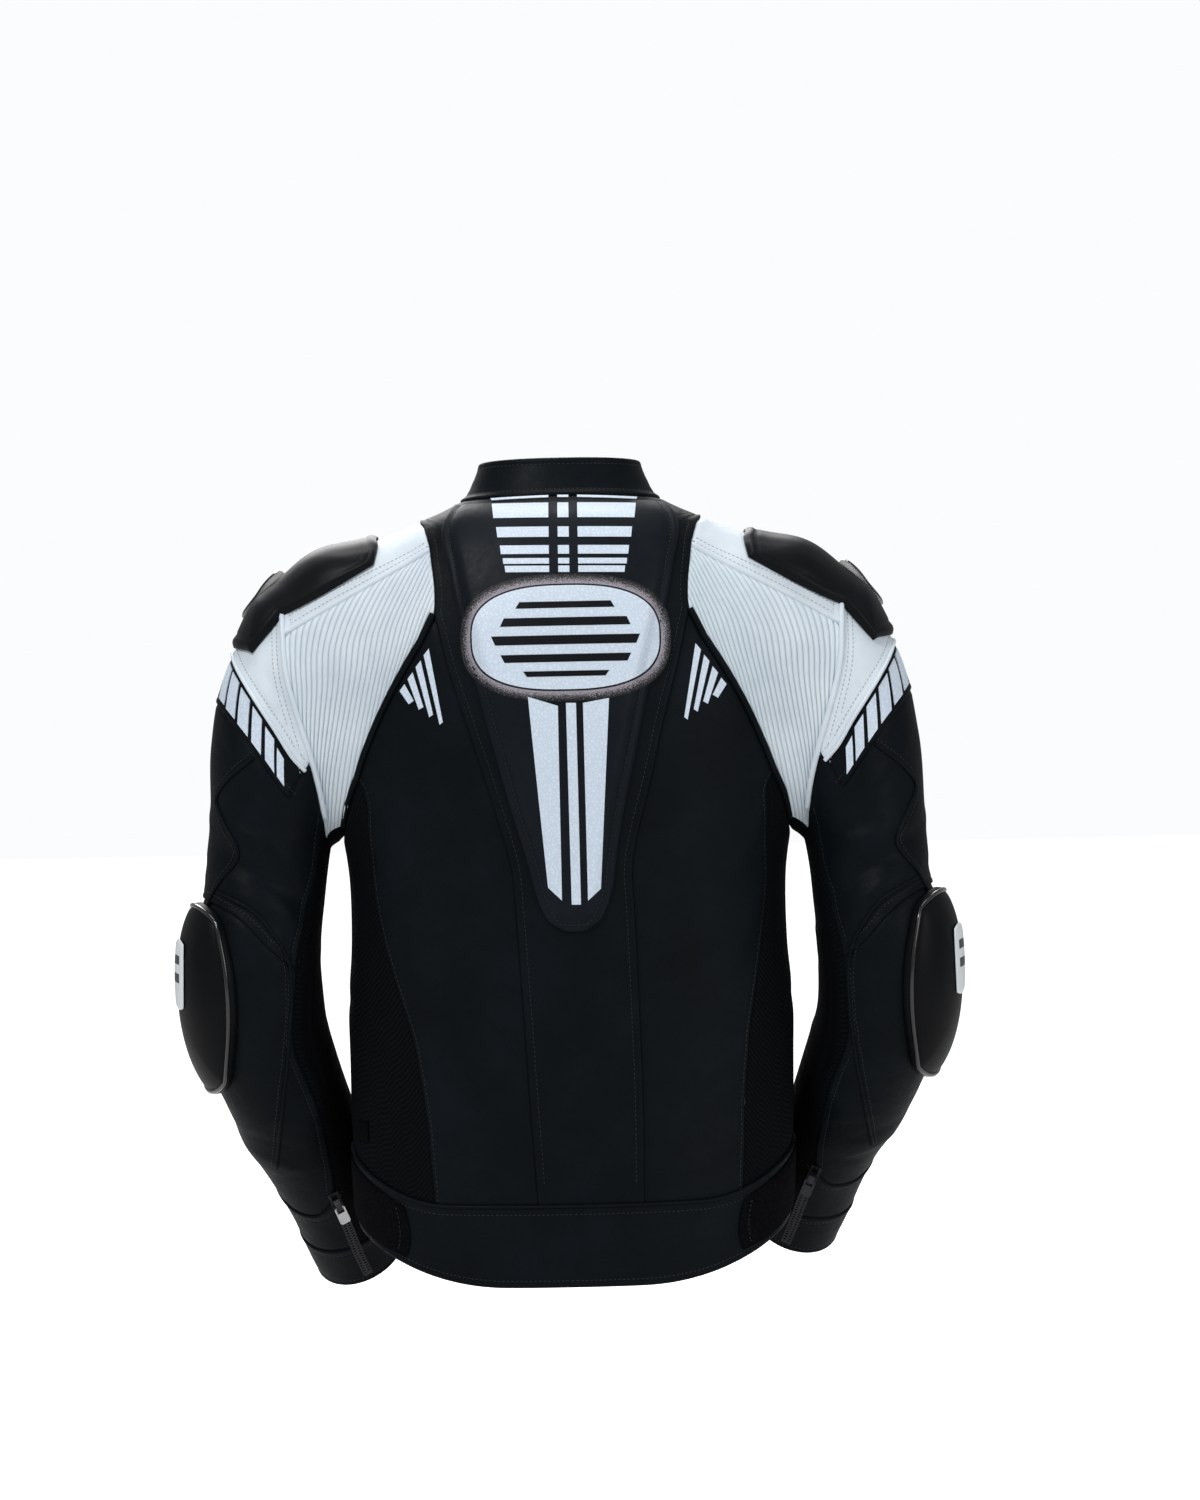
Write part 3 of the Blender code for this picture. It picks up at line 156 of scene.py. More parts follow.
def body(angle, height):
    """Point of the body's surface."""
    angle, height = np.broadcast_arrays(np.asarray(angle, float), np.asarray(height, float))
    half_width, back, front = np.moveaxis(body_section(height), -1, 0)
    sine, cosine = np.sin(np.radians(angle)), np.cos(np.radians(angle))
    x = half_width * signed_power(sine, 2 / BODY_ROUNDNESS)
    y = np.where(cosine > 0, back, front) * signed_power(cosine, 2 / BODY_ROUNDNESS)
    drop = NECK_DROP * smooth_step(80, 180, np.abs(angle)) * np.clip(1 + height / NECK_DROP_REACH, 0, 1)
    return np.stack([x, y, height - drop], axis=-1)


def body_angle(x, height, at_front=False):
    """Angle at which the body's surface is x from its middle at this height."""
    half_width = body_section(height)[..., 0]
    part = np.clip(np.abs(x) / half_width, 0.0, 1.0) ** (BODY_ROUNDNESS / 2)
    angle = np.degrees(np.arcsin(part)) * np.sign(x)
    return np.sign(x) * 180.0 - angle if at_front else angle


armhole_rows = []
for ANGLE, WIDTH, HEIGHT, WHERE in ARMHOLE:
    AROUND = float(body_angle(WIDTH, np.array(float(HEIGHT)), at_front=WHERE < 0))
    armhole_rows.append((ANGLE, AROUND, HEIGHT))
armhole_place = through(armhole_rows, closed=True)


def armhole(angle):
    """Point of the left armhole's edge as an angle round the body and a height."""
    return np.moveaxis(armhole_place(angle), -1, 0)


def normal(surface, u, v, step=0.05):
    along_u = surface(u + step, v) - surface(u - step, v)
    along_v = surface(u, v + step) - surface(u, v - step)
    return unit(np.cross(along_v, along_u))


def creases(table, degree, angle, height):
    """Height of long soft folds, each along a bowed line with its middle at full height."""
    rise = np.zeros(np.broadcast(angle, height).shape)
    for angle_1, height_1, angle_2, height_2, bow, half_width, lift in table:
        run, fall = (angle_2 - angle_1) * degree, float(height_2 - height_1)
        length = math.hypot(run, fall)
        across, down = (angle - angle_1) * degree, height - height_1
        part = (across * run + down * fall) / length**2
        inside = np.clip(part, 0.0, 1.0)
        off = (down * run - across * fall) / length - bow * 4 * inside * (1 - inside)
        ends = smooth_step(-0.15, 0.3, part) * smooth_step(1.15, 0.7, part)
        rise = rise + lift * ends * (np.exp(-(off / half_width) ** 2) - 0.3 * np.exp(-(off / half_width / 2.2) ** 2))
    return rise


def body_relief(angle, height, side=1):
    """Soft unevenness of the worn body; none under the hump or at the zip."""
    angle = np.asarray(angle, float) * side
    waves = 0.35 * np.sin(height / 23 + angle / 9) * np.sin(angle / 13 - height / 41 + 1.0)
    waves = waves + 0.3 * np.sin(height / 37 - angle / 17 + 2.0)
    free = smooth_step(170, 160, np.abs(angle)) * smooth_step(20, 60, np.abs(angle) + np.clip(-320 - height, 0, 60))
    free = free * smooth_step(-5, -40, height) * smooth_step(-600, -560, height)
    return (waves + creases(BODY_CREASES, BODY_DEGREE, angle, height)) * free


def joined(*runs):
    """One outline from runs that follow each other, without the points that two of them share."""
    return np.vstack([runs[0]] + [run[1:] for run in runs[1:]])


def straight(start, end, count):
    return np.linspace(start, end, count + 1)


def finer(values, parts=3):
    """The same rising or falling values with evenly spaced ones between them."""
    places = np.arange((len(values) - 1) * parts + 1) / parts
    return list(np.interp(places, np.arange(len(values)), values))


def patch(top, right, bottom, left, late=1):
    """Grid between four edges: top and bottom run from left to right, left and right run from top to bottom.
    A late one takes up the bottom edge's shape only in its lower rows."""
    across = np.linspace(0, 1, len(top))[None, :, None]
    down = np.linspace(0, 1, len(left))[:, None, None] ** late
    ends = (
        (1 - down) * (1 - across) * top[0]
        + (1 - down) * across * top[-1]
        + down * (1 - across) * bottom[0]
        + down * across * bottom[-1]
    )
    between_rows = (1 - down) * top[None] + down * bottom[None]
    between_columns = (1 - across) * left[:, None] + across * right[:, None]
    return between_rows + between_columns - ends


def corner_places(edge):
    steps = unit(np.diff(edge, axis=0))
    bends = np.sum(steps[1:] * steps[:-1], axis=-1) < math.cos(math.radians(CORNER))
    return {int(place) + 1 for place in np.nonzero(bends)[0]}


def finer_columns(surface, grid, step):
    """The grid with more columns: close together beside the seams and evenly spread between them."""
    points = surface(grid[..., 0], grid[..., 1])
    lengths = np.linalg.norm(np.diff(points, axis=1), axis=-1)
    along = np.concatenate([np.zeros((len(grid), 1)), np.cumsum(lengths, axis=1)], axis=1)
    last = grid.shape[1] - 1
    kept = sorted({0, last} | corner_places(points[0]) | corner_places(points[-1]))
    places = []
    for start, end in zip(kept, kept[1:]):
        length = (along[:, end] - along[:, start])[:, None]
        head = np.array(EDGE_LINES if start == 0 else [0.0])
        tail = np.array(EDGE_LINES if end == last else [0.0])
        squeeze = np.minimum(1.0, length / (2.2 * EDGE_LINES[-1]))
        count = max(1, math.ceil((length.max() - head[-1] - tail[-1]) / step))
        middle = np.linspace(0, 1, count + 1)[None, 1:-1]
        low, high = head[-1] * squeeze, length - tail[-1] * squeeze
        parts = [head[None] * squeeze, low + (high - low) * middle, length - tail[None, ::-1] * squeeze]
        spread = along[:, [start]] + np.concatenate(parts, axis=1)
        places.append(spread if start == 0 else spread[:, 1:])
    places = np.concatenate(places, axis=1)
    layers = [
        np.stack([np.interp(places[row], along[row], grid[row, :, axis]) for row in range(len(grid))])
        for axis in (0, 1)
    ]
    return np.stack(layers, axis=-1)


def fine_grid(surface, grid, step):
    grid = finer_columns(surface, grid, step)
    return finer_columns(surface, grid.transpose(1, 0, 2), step).transpose(1, 0, 2)


def seam_distances(points):
    """Distance of every point from the left, right, top and bottom edge, square to that edge."""
    found = {}
    for sides, layer in (("lr", points), ("tb", points.transpose(1, 0, 2))):
        steps = np.linalg.norm(np.diff(layer, axis=1), axis=-1)
        along = np.concatenate([np.zeros((len(layer), 1)), np.cumsum(steps, axis=1)], axis=1)
        for side, edge, inside, away in (
            (sides[0], layer[:, 0], layer[:, 1], along),
            (sides[1], layer[:, -1], layer[:, -2], along[:, -1:] - along),
        ):
            slant = np.linalg.norm(np.cross(unit(inside - edge), unit(np.gradient(edge, axis=0))), axis=-1)
            away = away * np.clip(slant, 0.3, 1.0)[:, None]
            found[side] = away if sides == "lr" else away.T
    return found


def drawn_in(grid, distance, sides="tblr"):
    """The grid with its edges moved in by a distance, square to each edge along the surface."""
    moved = grid.copy()
    edges = {
        "t": (grid[0], grid[1], (0, slice(None))),
        "b": (grid[-1], grid[-2], (-1, slice(None))),
        "l": (grid[:, 0], grid[:, 1], (slice(None), 0)),
        "r": (grid[:, -1], grid[:, -2], (slice(None), -1)),
    }
    for side in sides:
        edge, inside, where = edges[side]
        along = unit(np.gradient(edge, axis=0))
        push = inside - edge
        moved[where] += distance * unit(push - np.sum(push * along, axis=-1, keepdims=True) * along)
    return moved


def mirrored(points, side):
    """The points on the wearer's left (side 1) or on the right (side -1)."""
    return points * np.array([side, 1.0, 1.0])


def slab(shape, under, over, closed=False):
    """Add the closed solid between two grids of points. Its under side takes the second material."""
    rows, columns = under.shape[:2]
    number = shape.verts.layers.int.get("number") or shape.verts.layers.int.new("number")
    upper = shape.verts.layers.int.get("upper") or shape.verts.layers.int.new("upper")
    made = bmesh.ops.create_grid(shape, x_segments=columns - 1, y_segments=rows - 1, size=1.0)["verts"]
    places, tops = under.reshape(-1, 3) * MM, over.reshape(-1, 3) * MM
    for index, vertex in enumerate(made):
        vertex.co = places[index]
        vertex[number] = index
    faces = list(dict.fromkeys(face for vertex in made for face in vertex.link_faces))
    raised = bmesh.ops.extrude_face_region(shape, geom=faces, use_keep_orig=True)["geom"]
    for vertex in raised:
        if isinstance(vertex, bmesh.types.BMVert):
            vertex.co = tops[vertex[number]]
            vertex[upper] = 1
    if closed:
        rim = [face for face in shape.faces if 0 < sum(v[upper] for v in face.verts) < 4]
        ends = [f for f in rim if any(all(v[number] % columns == end for v in f.verts) for end in (0, columns - 1))]
        bmesh.ops.delete(shape, geom=ends, context="FACES")
    bmesh.ops.remove_doubles(shape, verts=shape.verts[:], dist=SAME_PLACE)


def object_from(name, shape, materials):
    """Object that holds a finished bmesh, with its materials."""
    mesh = bpy.data.meshes.new(name)
    shape.to_mesh(mesh)
    shape.free()
    for material in materials:
        mesh.materials.append(material)
    thing = bpy.data.objects.new(name, mesh)
    bpy.context.scene.collection.objects.link(thing)
    return thing


def piece_from(name, shape, materials, uv=None):
    """Object from a finished bmesh: smooth faces, sharp rims, the lining on the inner side."""
    upper = shape.verts.layers.int["upper"]
    number = shape.verts.layers.int["number"]
    bmesh.ops.recalc_face_normals(shape, faces=shape.faces[:])
    if shape.calc_volume(signed=True) < 0:
        bmesh.ops.reverse_faces(shape, faces=shape.faces[:])
    shape.faces.index_update()
    sides = []
    for face in shape.faces:
        raised = sum(vertex[upper] for vertex in face.verts)
        sides.append("under" if raised == 0 else "over" if raised == len(face.verts) else "rim")
        face.smooth = True
        face.material_index = 1 if sides[-1] == "under" and len(materials) > 1 else 0
    for edge in shape.edges:
        edge.smooth = len({sides[face.index] for face in edge.link_faces}) < 2
    if uv is not None:
        layer = shape.loops.layers.uv.new("UVMap")
        flat = uv.reshape(-1, 2) * MM
        for face in shape.faces:
            for loop in face.loops:
                loop[layer].uv = flat[loop.vert[number]]
    return object_from(name, shape, materials)


def flat_size(points):
    """Width, length and area in metres that the cloth of a grid of points was cut to."""
    across = np.linalg.norm(np.diff(points, axis=1), axis=-1).sum(axis=1).max() * MM
    down = np.linalg.norm(np.diff(points, axis=0), axis=-1).sum(axis=0).max() * MM
    one, other = points[1:, 1:] - points[:-1, :-1], points[1:, :-1] - points[:-1, 1:]
    area = np.linalg.norm(np.cross(one, other), axis=-1).sum() / 2 * MM**2
    return (float(across), float(down)), float(np.clip(area, 0.3 * across * down, across * down))


def jacket_piece(thing, slot, *nodes):
    """The piece moves with the jacket and stands for these nodes; the finish slot is not used."""
    if nodes:
        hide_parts(*nodes)
    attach(thing, "jacket")
    return thing


def cut_piece(node, surface, relief, grid, materials, slot, seams, side=1, step=BODY_STEP,
              raised=None, uv=None, closed=False):
    """One cut piece of the jacket: a wall of leather or cloth on its surface, shaped by its seams and folds.
    Seams give the kind of its left, right, top and bottom edge. A grid with its own UVs is fine enough."""
    grid = fine_grid(surface, grid, step) if uv is None else grid
    u, v = grid[..., 0], grid[..., 1]
    facing, smooth = normal(surface, u, v), surface(u, v)
    lift = relief(u, v, side)
    distances = seam_distances(smooth)
    for edge, kind in seams.items():
        places, heights = zip(*SEAM_EDGES[kind])
        lift = lift + np.interp(distances[edge], places, heights)
    if raised is not None:
        lift = lift + raised
    outer, inner = smooth + lift[..., None] * facing, smooth - WALL * facing
    sides = "tb" if closed else "tblr"
    outer, inner = drawn_in(outer, SEAM_GAP / 2, sides), drawn_in(inner, -SEAM_LAP, sides)
    if closed:
        outer[:, -1], inner[:, -1] = outer[:, 0], inner[:, 0]
    outer, inner = (on_side(layer, surface, side) for layer in (outer, inner))
    shape = bmesh.new()
    slab(shape, inner, outer, closed)
    if uv is None:
        uv = np.stack([distances["l"], distances["t"]], axis=-1)
    thing = jacket_piece(piece_from(f"{node}_cloth", shape, materials, uv), slot, node)
    return thing


RIGHT_FOREARM, RIGHT_FOREARM_LIFT = (-430.0, -620.0), 18.5


def on_side(points, surface, side):
    """Mirrored points of a surface. The right forearm is held a little higher than the left."""
    points = mirrored(points, side)
    if side < 0 and surface is not body:
        points[..., 2] += RIGHT_FOREARM_LIFT * smooth_step(*RIGHT_FOREARM, points[..., 2])
    return points


def linear(hex_color):
    """Linear colour with alpha from an sRGB hex value."""
    parts = [int(hex_color[place : place + 2], 16) / 255 for place in (1, 3, 5)]
    return (*[part / 12.92 if part <= 0.04045 else ((part + 0.055) / 1.055) ** 2.4 for part in parts], 1.0)


def add_node(tree, kind, sockets=(), **settings):
    """Add a shader node. Sockets are its inputs by name or number: a value, or another node's output."""
    made = tree.nodes.new(kind)
    for setting, value in settings.items():
        setattr(made, setting, value)
    for socket, value in dict(sockets).items():
        if isinstance(value, bpy.types.NodeSocket):
            tree.links.new(value, made.inputs[socket])
        else:
            made.inputs[socket].default_value = value
    return made


def new_material(name):
    material = bpy.data.materials.new(name)
    material.use_nodes = True
    return material, material.node_tree, material.node_tree.nodes["Principled BSDF"]


def leather(name, dark, light, roughness, grain, grain_depth, crease_depth, specular, dust=None):
    """Grain leather: pebbled grain, fine creases where it bends and a slightly uneven dye.
    Grain is the width of one pebble in mm; real grain is 0.8 mm and is drawn coarser so that it shows."""
    material, tree, surface = new_material(name)
    place = add_node(tree, "ShaderNodeTexCoord").outputs["Object"]
    dye = add_node(tree, "ShaderNodeTexNoise", {"Vector": place, "Scale": 18.0, "Detail": 4.0, "Roughness": 0.6})
    tone = add_node(tree, "ShaderNodeValToRGB", {"Fac": dye.outputs["Fac"]})
    tone.color_ramp.elements[0].position, tone.color_ramp.elements[0].color = 0.3, linear(dark)
    tone.color_ramp.elements[1].position, tone.color_ramp.elements[1].color = 0.7, linear(light)
    pebble = add_node(
        tree, "ShaderNodeTexVoronoi", {"Vector": place, "Scale": 1000.0 / grain, "Randomness": 0.9},
        feature="SMOOTH_F1",
    )
    bent = add_node(
        tree, "ShaderNodeTexNoise",
        {"Vector": place, "Scale": 130.0, "Detail": 5.0, "Roughness": 0.65, "Distortion": 0.6},
    )
    color = tone.outputs["Color"]
    if dust:
        worn = add_node(tree, "ShaderNodeMapRange", {
            "Value": pebble.outputs["Distance"], "From Min": 0.25, "From Max": 0.7, "To Min": 0.0, "To Max": 0.55,
        })
        color = add_node(
            tree, "ShaderNodeMix", {0: worn.outputs["Result"], 6: color, 7: linear(dust)}, data_type="RGBA"
        ).outputs[2]
    tree.links.new(color, surface.inputs["Base Color"])
    rough = add_node(tree, "ShaderNodeMapRange", {
        "Value": bent.outputs["Fac"], "From Min": 0.3, "From Max": 0.7,
        "To Min": roughness - 0.06, "To Max": roughness + 0.08,
    })
    tree.links.new(rough.outputs["Result"], surface.inputs["Roughness"])
    surface.inputs["Specular IOR Level"].default_value = specular
    soft = add_node(tree, "ShaderNodeBump", {
        "Height": bent.outputs["Fac"], "Strength": 1.0, "Distance": crease_depth * MM,
    })
    grained = add_node(tree, "ShaderNodeBump", {
        "Height": pebble.outputs["Distance"], "Strength": 1.0, "Distance": grain_depth * MM,
        "Normal": soft.outputs["Normal"],
    }, invert=True)
    tree.links.new(grained.outputs["Normal"], surface.inputs["Normal"])
    return material


# Drum-dyed cowhide: near black with a blue cast, semi-matt, fine pebbles
black_leather = leather("black_cowhide", "#080c0f", "#0d1217", 0.50, 1.9, 0.10, 0.30, 0.06)


def mesh_lining():
    """Knitted polyester mesh: dark grey and matt, with a hole every 3 mm."""
    material, tree, surface = new_material("polyester_mesh_lining")
    place = add_node(tree, "ShaderNodeTexCoord").outputs["Object"]
    holes = add_node(tree, "ShaderNodeTexVoronoi", {"Vector": place, "Scale": 1000.0 / 3.0, "Randomness": 0.15})
    tone = add_node(tree, "ShaderNodeValToRGB", {"Fac": holes.outputs["Distance"]})
    tone.color_ramp.elements[0].position, tone.color_ramp.elements[0].color = 0.22, linear("#060607")
    tone.color_ramp.elements[1].position, tone.color_ramp.elements[1].color = 0.40, linear("#2a2b2e")
    tree.links.new(tone.outputs["Color"], surface.inputs["Base Color"])
    surface.inputs["Roughness"].default_value = 0.9
    surface.inputs["Sheen Weight"].default_value = 0.3
    bump = add_node(tree, "ShaderNodeBump", {"Height": holes.outputs["Distance"], "Distance": 0.4 * MM})
    tree.links.new(bump.outputs["Normal"], surface.inputs["Normal"])
    return material


lining = mesh_lining()
princess = through(PRINCESS_SEAM)


def waist_height(angle):
    return WAIST_SEAM + WAIST_RISE * smooth_step(30, 95, np.abs(angle))


def hem_height(angle):
    return HEM + HEM_RISE * smooth_step(15, 100, np.abs(angle))


def armhole_run(angles):
    around, height = armhole(np.array(angles, float))
    return np.stack([around, height], -1)


def seam_down(table, side, first, heights, at_front=False):
    """A seam from the armhole point it starts at down to the waistband, as angles and heights."""
    heights = np.concatenate([[first[1]], heights])
    width, *turn = np.moveaxis(table(heights), -1, 0)
    if at_front:
        angle = body_angle(width, heights, at_front=True)
    else:
        angle = body_angle(width + side * turn[0], heights)
    angle[0] = first[0]
    foot = waist_height(angle[-1])
    heights = first[1] + (heights - first[1]) * (foot - first[1]) / (WAIST_SEAM - first[1])
    return np.stack([angle, heights], -1)


SIDE_NAMES = {1: "left", -1: "right"}
shoulder_seam = straight((90.0, 0.0), armhole_run([0])[0], 2)
yoke_edge = armhole_run(finer(SHOULDER_ANGLES[2:] + RIBBED_ANGLES[1:3]))
corner_heights = finer([armhole_run([78])[0][1]] + BACK_HEIGHTS)[1:]
princess_seams = {side: seam_down(princess, side, yoke_edge[-1], corner_heights) for side in SIDE_NAMES}
back_edges = {side: joined(shoulder_seam, yoke_edge, princess_seams[side]) for side in SIDE_NAMES}

right_edge = back_edges[-1] * np.array([-1.0, 1.0])
back_grid = np.linspace(right_edge, back_edges[1], 41, axis=1)
back_grid[-1, :, 1] = waist_height(back_grid[-1, :, 0])
cut_piece(
    "back_panel", body, body_relief, back_grid, [black_leather, lining], "black_leather",
    {"l": "over", "r": "over", "t": "under", "b": "under"},
)

TOPSTITCH = 6.2         # from a lapped seam to the row of stitches along it
STITCH_PITCH = 3.6
STITCH = (2.7, 0.8, 0.55)       # length, width and height of one stitch
THREAD_SINK = 0.1


def thread(name, dark, light):
    """Bonded polyester thread, twisted: satin, lighter along its ridges."""
    material, tree, surface = new_material(name)
    place = add_node(tree, "ShaderNodeTexCoord").outputs["Object"]
    twist = add_node(tree, "ShaderNodeTexNoise", {"Vector": place, "Scale": 900.0, "Detail": 1.0})
    tone = add_node(tree, "ShaderNodeValToRGB", {"Fac": twist.outputs["Fac"]})
    tone.color_ramp.elements[0].color, tone.color_ramp.elements[1].color = linear(dark), linear(light)
    tree.links.new(tone.outputs["Color"], surface.inputs["Base Color"])
    surface.inputs["Roughness"].default_value = 0.55
    return material


black_thread = thread("black_polyester_thread", "#030304", "#0c0d10")


def evenly(surface, places, pitch):
    """Places at even steps along a line on the surface."""
    points = surface(places[:, 0], places[:, 1])
    along = np.concatenate([[0.0], np.cumsum(np.linalg.norm(np.diff(points, axis=0), axis=-1))])
    count = max(2, int(round(along[-1] / pitch)) + 1)
    wanted = np.linspace(0, along[-1], count)
    return np.stack([np.interp(wanted, along, places[:, axis]) for axis in (0, 1)], axis=-1)


def beside(surface, places, distance):
    """The line moved sideways on the surface, to the right of its run when seen from outside."""
    u, v = places[:, 0], places[:, 1]
    along_u = (surface(u + 0.05, v) - surface(u - 0.05, v)) / 0.1
    along_v = (surface(u, v + 0.05) - surface(u, v - 0.05)) / 0.1
    away = np.cross(unit(np.gradient(surface(u, v), axis=0)), unit(np.cross(along_v, along_u))) * distance
    square_u, square_v, mixed = (along_u**2).sum(-1), (along_v**2).sum(-1), (along_u * along_v).sum(-1)
    part_u, part_v = (away * along_u).sum(-1), (away * along_v).sum(-1)
    scale = square_u * square_v - mixed**2
    moved = [(square_v * part_u - mixed * part_v) / scale, (square_u * part_v - mixed * part_u) / scale]
    return places + np.stack(moved, axis=-1)


def stitches(name, surface, relief, rows, material, slot, side=1):
    """Rows of stitches. A row is a line of places, its distance beside that line and the kind of seam there."""
    shape = bmesh.new()
    for line, distance, kind in rows:
        places = beside(surface, evenly(surface, line, STITCH_PITCH), distance)
        u, v = places[:, 0], places[:, 1]
        edge = np.interp(abs(distance), *zip(*SEAM_EDGES[kind])) if kind else 0.0
        facing = normal(surface, u, v)
        centers = surface(u, v) + (relief(u, v, side) + edge + THREAD_SINK)[:, None] * facing
        stitch_line(shape, on_side(centers, surface, side), mirrored(facing, side))
    for face in shape.faces:
        face.smooth = True
    return jacket_piece(object_from(name, shape, [material]), slot)


def stitch_line(shape, centers, facing):
    """One row of stitches, each a small bead of thread along the row."""
    path = unit(np.gradient(centers, axis=0))
    across = unit(np.cross(facing, path))
    square = np.cross(path, across)
    for center, *axes in zip(centers, path, across, square):
        turned = Matrix([list(row) for row in np.stack(axes, -1)]).to_4x4()
        size = Matrix.Diagonal((*[length / 2 * MM for length in STITCH], 1.0))
        place = Matrix.Translation(Vector(center * MM)) @ turned @ size
        bmesh.ops.create_icosphere(shape, subdivisions=1, radius=1.0, matrix=place)


def signed(line, side):
    """A body seam of one side with its angle counted to the wearer's left."""
    return line * np.array([side, 1.0])


for SIDE, NAME in SIDE_NAMES.items():
    stitches(
        f"back_seam_stitches_{NAME}", body, body_relief,
        [(signed(back_edges[SIDE][4:-1], SIDE), -TOPSTITCH * SIDE, "over")], black_thread, "black_leather",
    )

# --- Hump --------------------------------------------------------------------------------------------------
# Aerodynamic hump of the back: foam under a leather cover, sewn down round its edge and ending in a round tip.

# Height, half width, turn, full height above the panel
HUMP = [
    (0, 69, 0, 2.4), (-7.5, 83, 0, 2.6), (-15, 88, 0, 4), (-60, 86, 0, 8), (-95, 79, 0, 10), (-145, 67, 0, 11),
    (-200, 54, -1, 11), (-250, 42, -2, 10), (-285, 34, -4, 9), (-304, 30.5, -5, 8), (-322, 24.6, -5, 6.5),
    (-328, 21.6, -5, 5.7), (-333, 17.2, -5, 4.8), (-337, 11, -5, 4), (-400, 16, -8, 0), (-551, 24, -13, 0),
]
HUMP_TOP, HUMP_TIP = -7.5, -337.0
HUMP_TIP_ARC = 2.5              # by which its end is round
PLATE_REACH = (-79.0, -147.0)   # the plate in the middle covers the hump's edge between these heights
HUMP_EDGE, HUMP_SHOULDER = 2.4, 16.0
HUMP_STITCH = 6.5               # stitches from its edge
HUMP_GROOVE = 0.7
hump_table = through(HUMP)

# Padded cover: the same hide, stretched over the foam, so a little smoother, and painted a little lighter than the
# black hide to stand in for the stronger light on the hump
padded_leather = leather("black_cowhide_over_foam_painted_lighter", "#0b1015", "#11171e", 0.47, 1.9, 0.08, 0.16, 0.10)


def hump_rise(x, height):
    """Thickness of the hump at a distance from the middle of the back."""
    half_width, turn, full = np.moveaxis(hump_table(height), -1, 0)
    to_side = half_width - np.abs(x - turn)
    to_tip = height - HUMP_TIP + HUMP_TIP_ARC * (1 - ((x - turn) / half_width) ** 2)
    lift = smooth_step(0, HUMP_SHOULDER, to_side) * smooth_step(0, HUMP_SHOULDER, to_tip)
    to_edge = -2.2 * np.log(np.exp(-to_side / 2.2) + np.exp(-np.clip(to_tip, -5, 60) / 2.2))
    groove = HUMP_GROOVE * np.exp(-(((to_edge - HUMP_STITCH) / 1.3) ** 2))
    roll = 0.7 * np.exp(-(((to_edge - 2.6) / 1.7) ** 2)) - 0.9 * np.exp(-((to_edge / 0.9) ** 2))
    return HUMP_EDGE + (full - HUMP_EDGE) * lift - groove + roll


def on_hump(x, height, over):
    """Point over the hump's cover."""
    angle = body_angle(x, height)
    return body(angle, height) + (LAY_GAP + hump_rise(x, height) + over)[..., None] * normal(body, angle, height)


hump_heights = np.concatenate([np.linspace(HUMP_TOP, -322, 70), np.linspace(-323.5, HUMP_TIP, 9)])
near = np.array([0, 0.8, 1.6, 2.4, 3.3, 4.3, 5.3, 6.1, 6.9, 7.7, 9.0, 11.0, 13.5, 16.0])
half_width, turn, _ = np.moveaxis(hump_table(hump_heights), -1, 0)
fitted = near[None] * np.minimum(1.0, half_width / 22.0)[:, None]
inner_part = np.linspace(-1, 1, 24)[None, 1:-1] * (half_width - fitted[:, -1])[:, None]
x = np.concatenate([fitted - half_width[:, None], inner_part, (half_width[:, None] - fitted)[:, ::-1]], axis=1)
x = x + turn[:, None]
out = (x - turn[:, None]) / half_width[:, None]
hump_grid = hump_heights[:, None] - HUMP_TIP_ARC * (1 - out**2) * smooth_step(-312, HUMP_TIP, hump_heights)[:, None]
angle = body_angle(x, hump_grid)
hump_under = body(angle, hump_grid) + LAY_GAP * normal(body, angle, hump_grid)
hump_over = on_hump(x, hump_grid, np.zeros(x.shape))
shape = bmesh.new()
slab(shape, hump_under, hump_over)
hump = jacket_piece(piece_from("hump_cover", shape, [padded_leather]), "padded_leather", "hump_panel")

edge_heights = np.concatenate([np.linspace(-14, -318, 90), np.linspace(-320, HUMP_TIP + 5.0, 10)])
half_width, turn, _ = np.moveaxis(hump_table(edge_heights), -1, 0)
inset = half_width - HUMP_STITCH
left_run = np.stack([turn + inset, edge_heights], -1)
to_middle = np.linspace(math.pi / 2, 0, 8)[1:]
arc = np.stack([turn[-1] + inset[-1] * np.sin(to_middle), edge_heights[-1] - HUMP_TIP_ARC * np.cos(to_middle)], -1)
lower = left_run[left_run[:, 1] < PLATE_REACH[1]]
hump_rows = [left_run[left_run[:, 1] > PLATE_REACH[0]], np.vstack([lower, arc])]
hump_rows += [np.stack([2 * hump_table(row[:, 1])[:, 1] - row[:, 0], row[:, 1]], -1) for row in hump_rows]


def hump_surface(x, height):
    return on_hump(x, height, np.zeros(np.broadcast(x, height).shape))


def no_relief(u, v, side=1):
    return np.zeros(np.broadcast(u, v).shape)


stitches("hump_stitches", hump_surface, no_relief, [(row, 0.0, None) for row in hump_rows], black_thread,
         "padded_leather")

# --- Printed stripes of the hump ---------------------------------------------------------------------------
# White transfer print pressed on the leather: a ladder of bars at the neck and three long bars down to the tip.
# The film is a tenth of a millimetre thick, and it has the crinkled grain of the leather under it.

PRINT_UNDER, PRINT_OVER = 0.04, 0.28
PRINT_STEP = 4.0

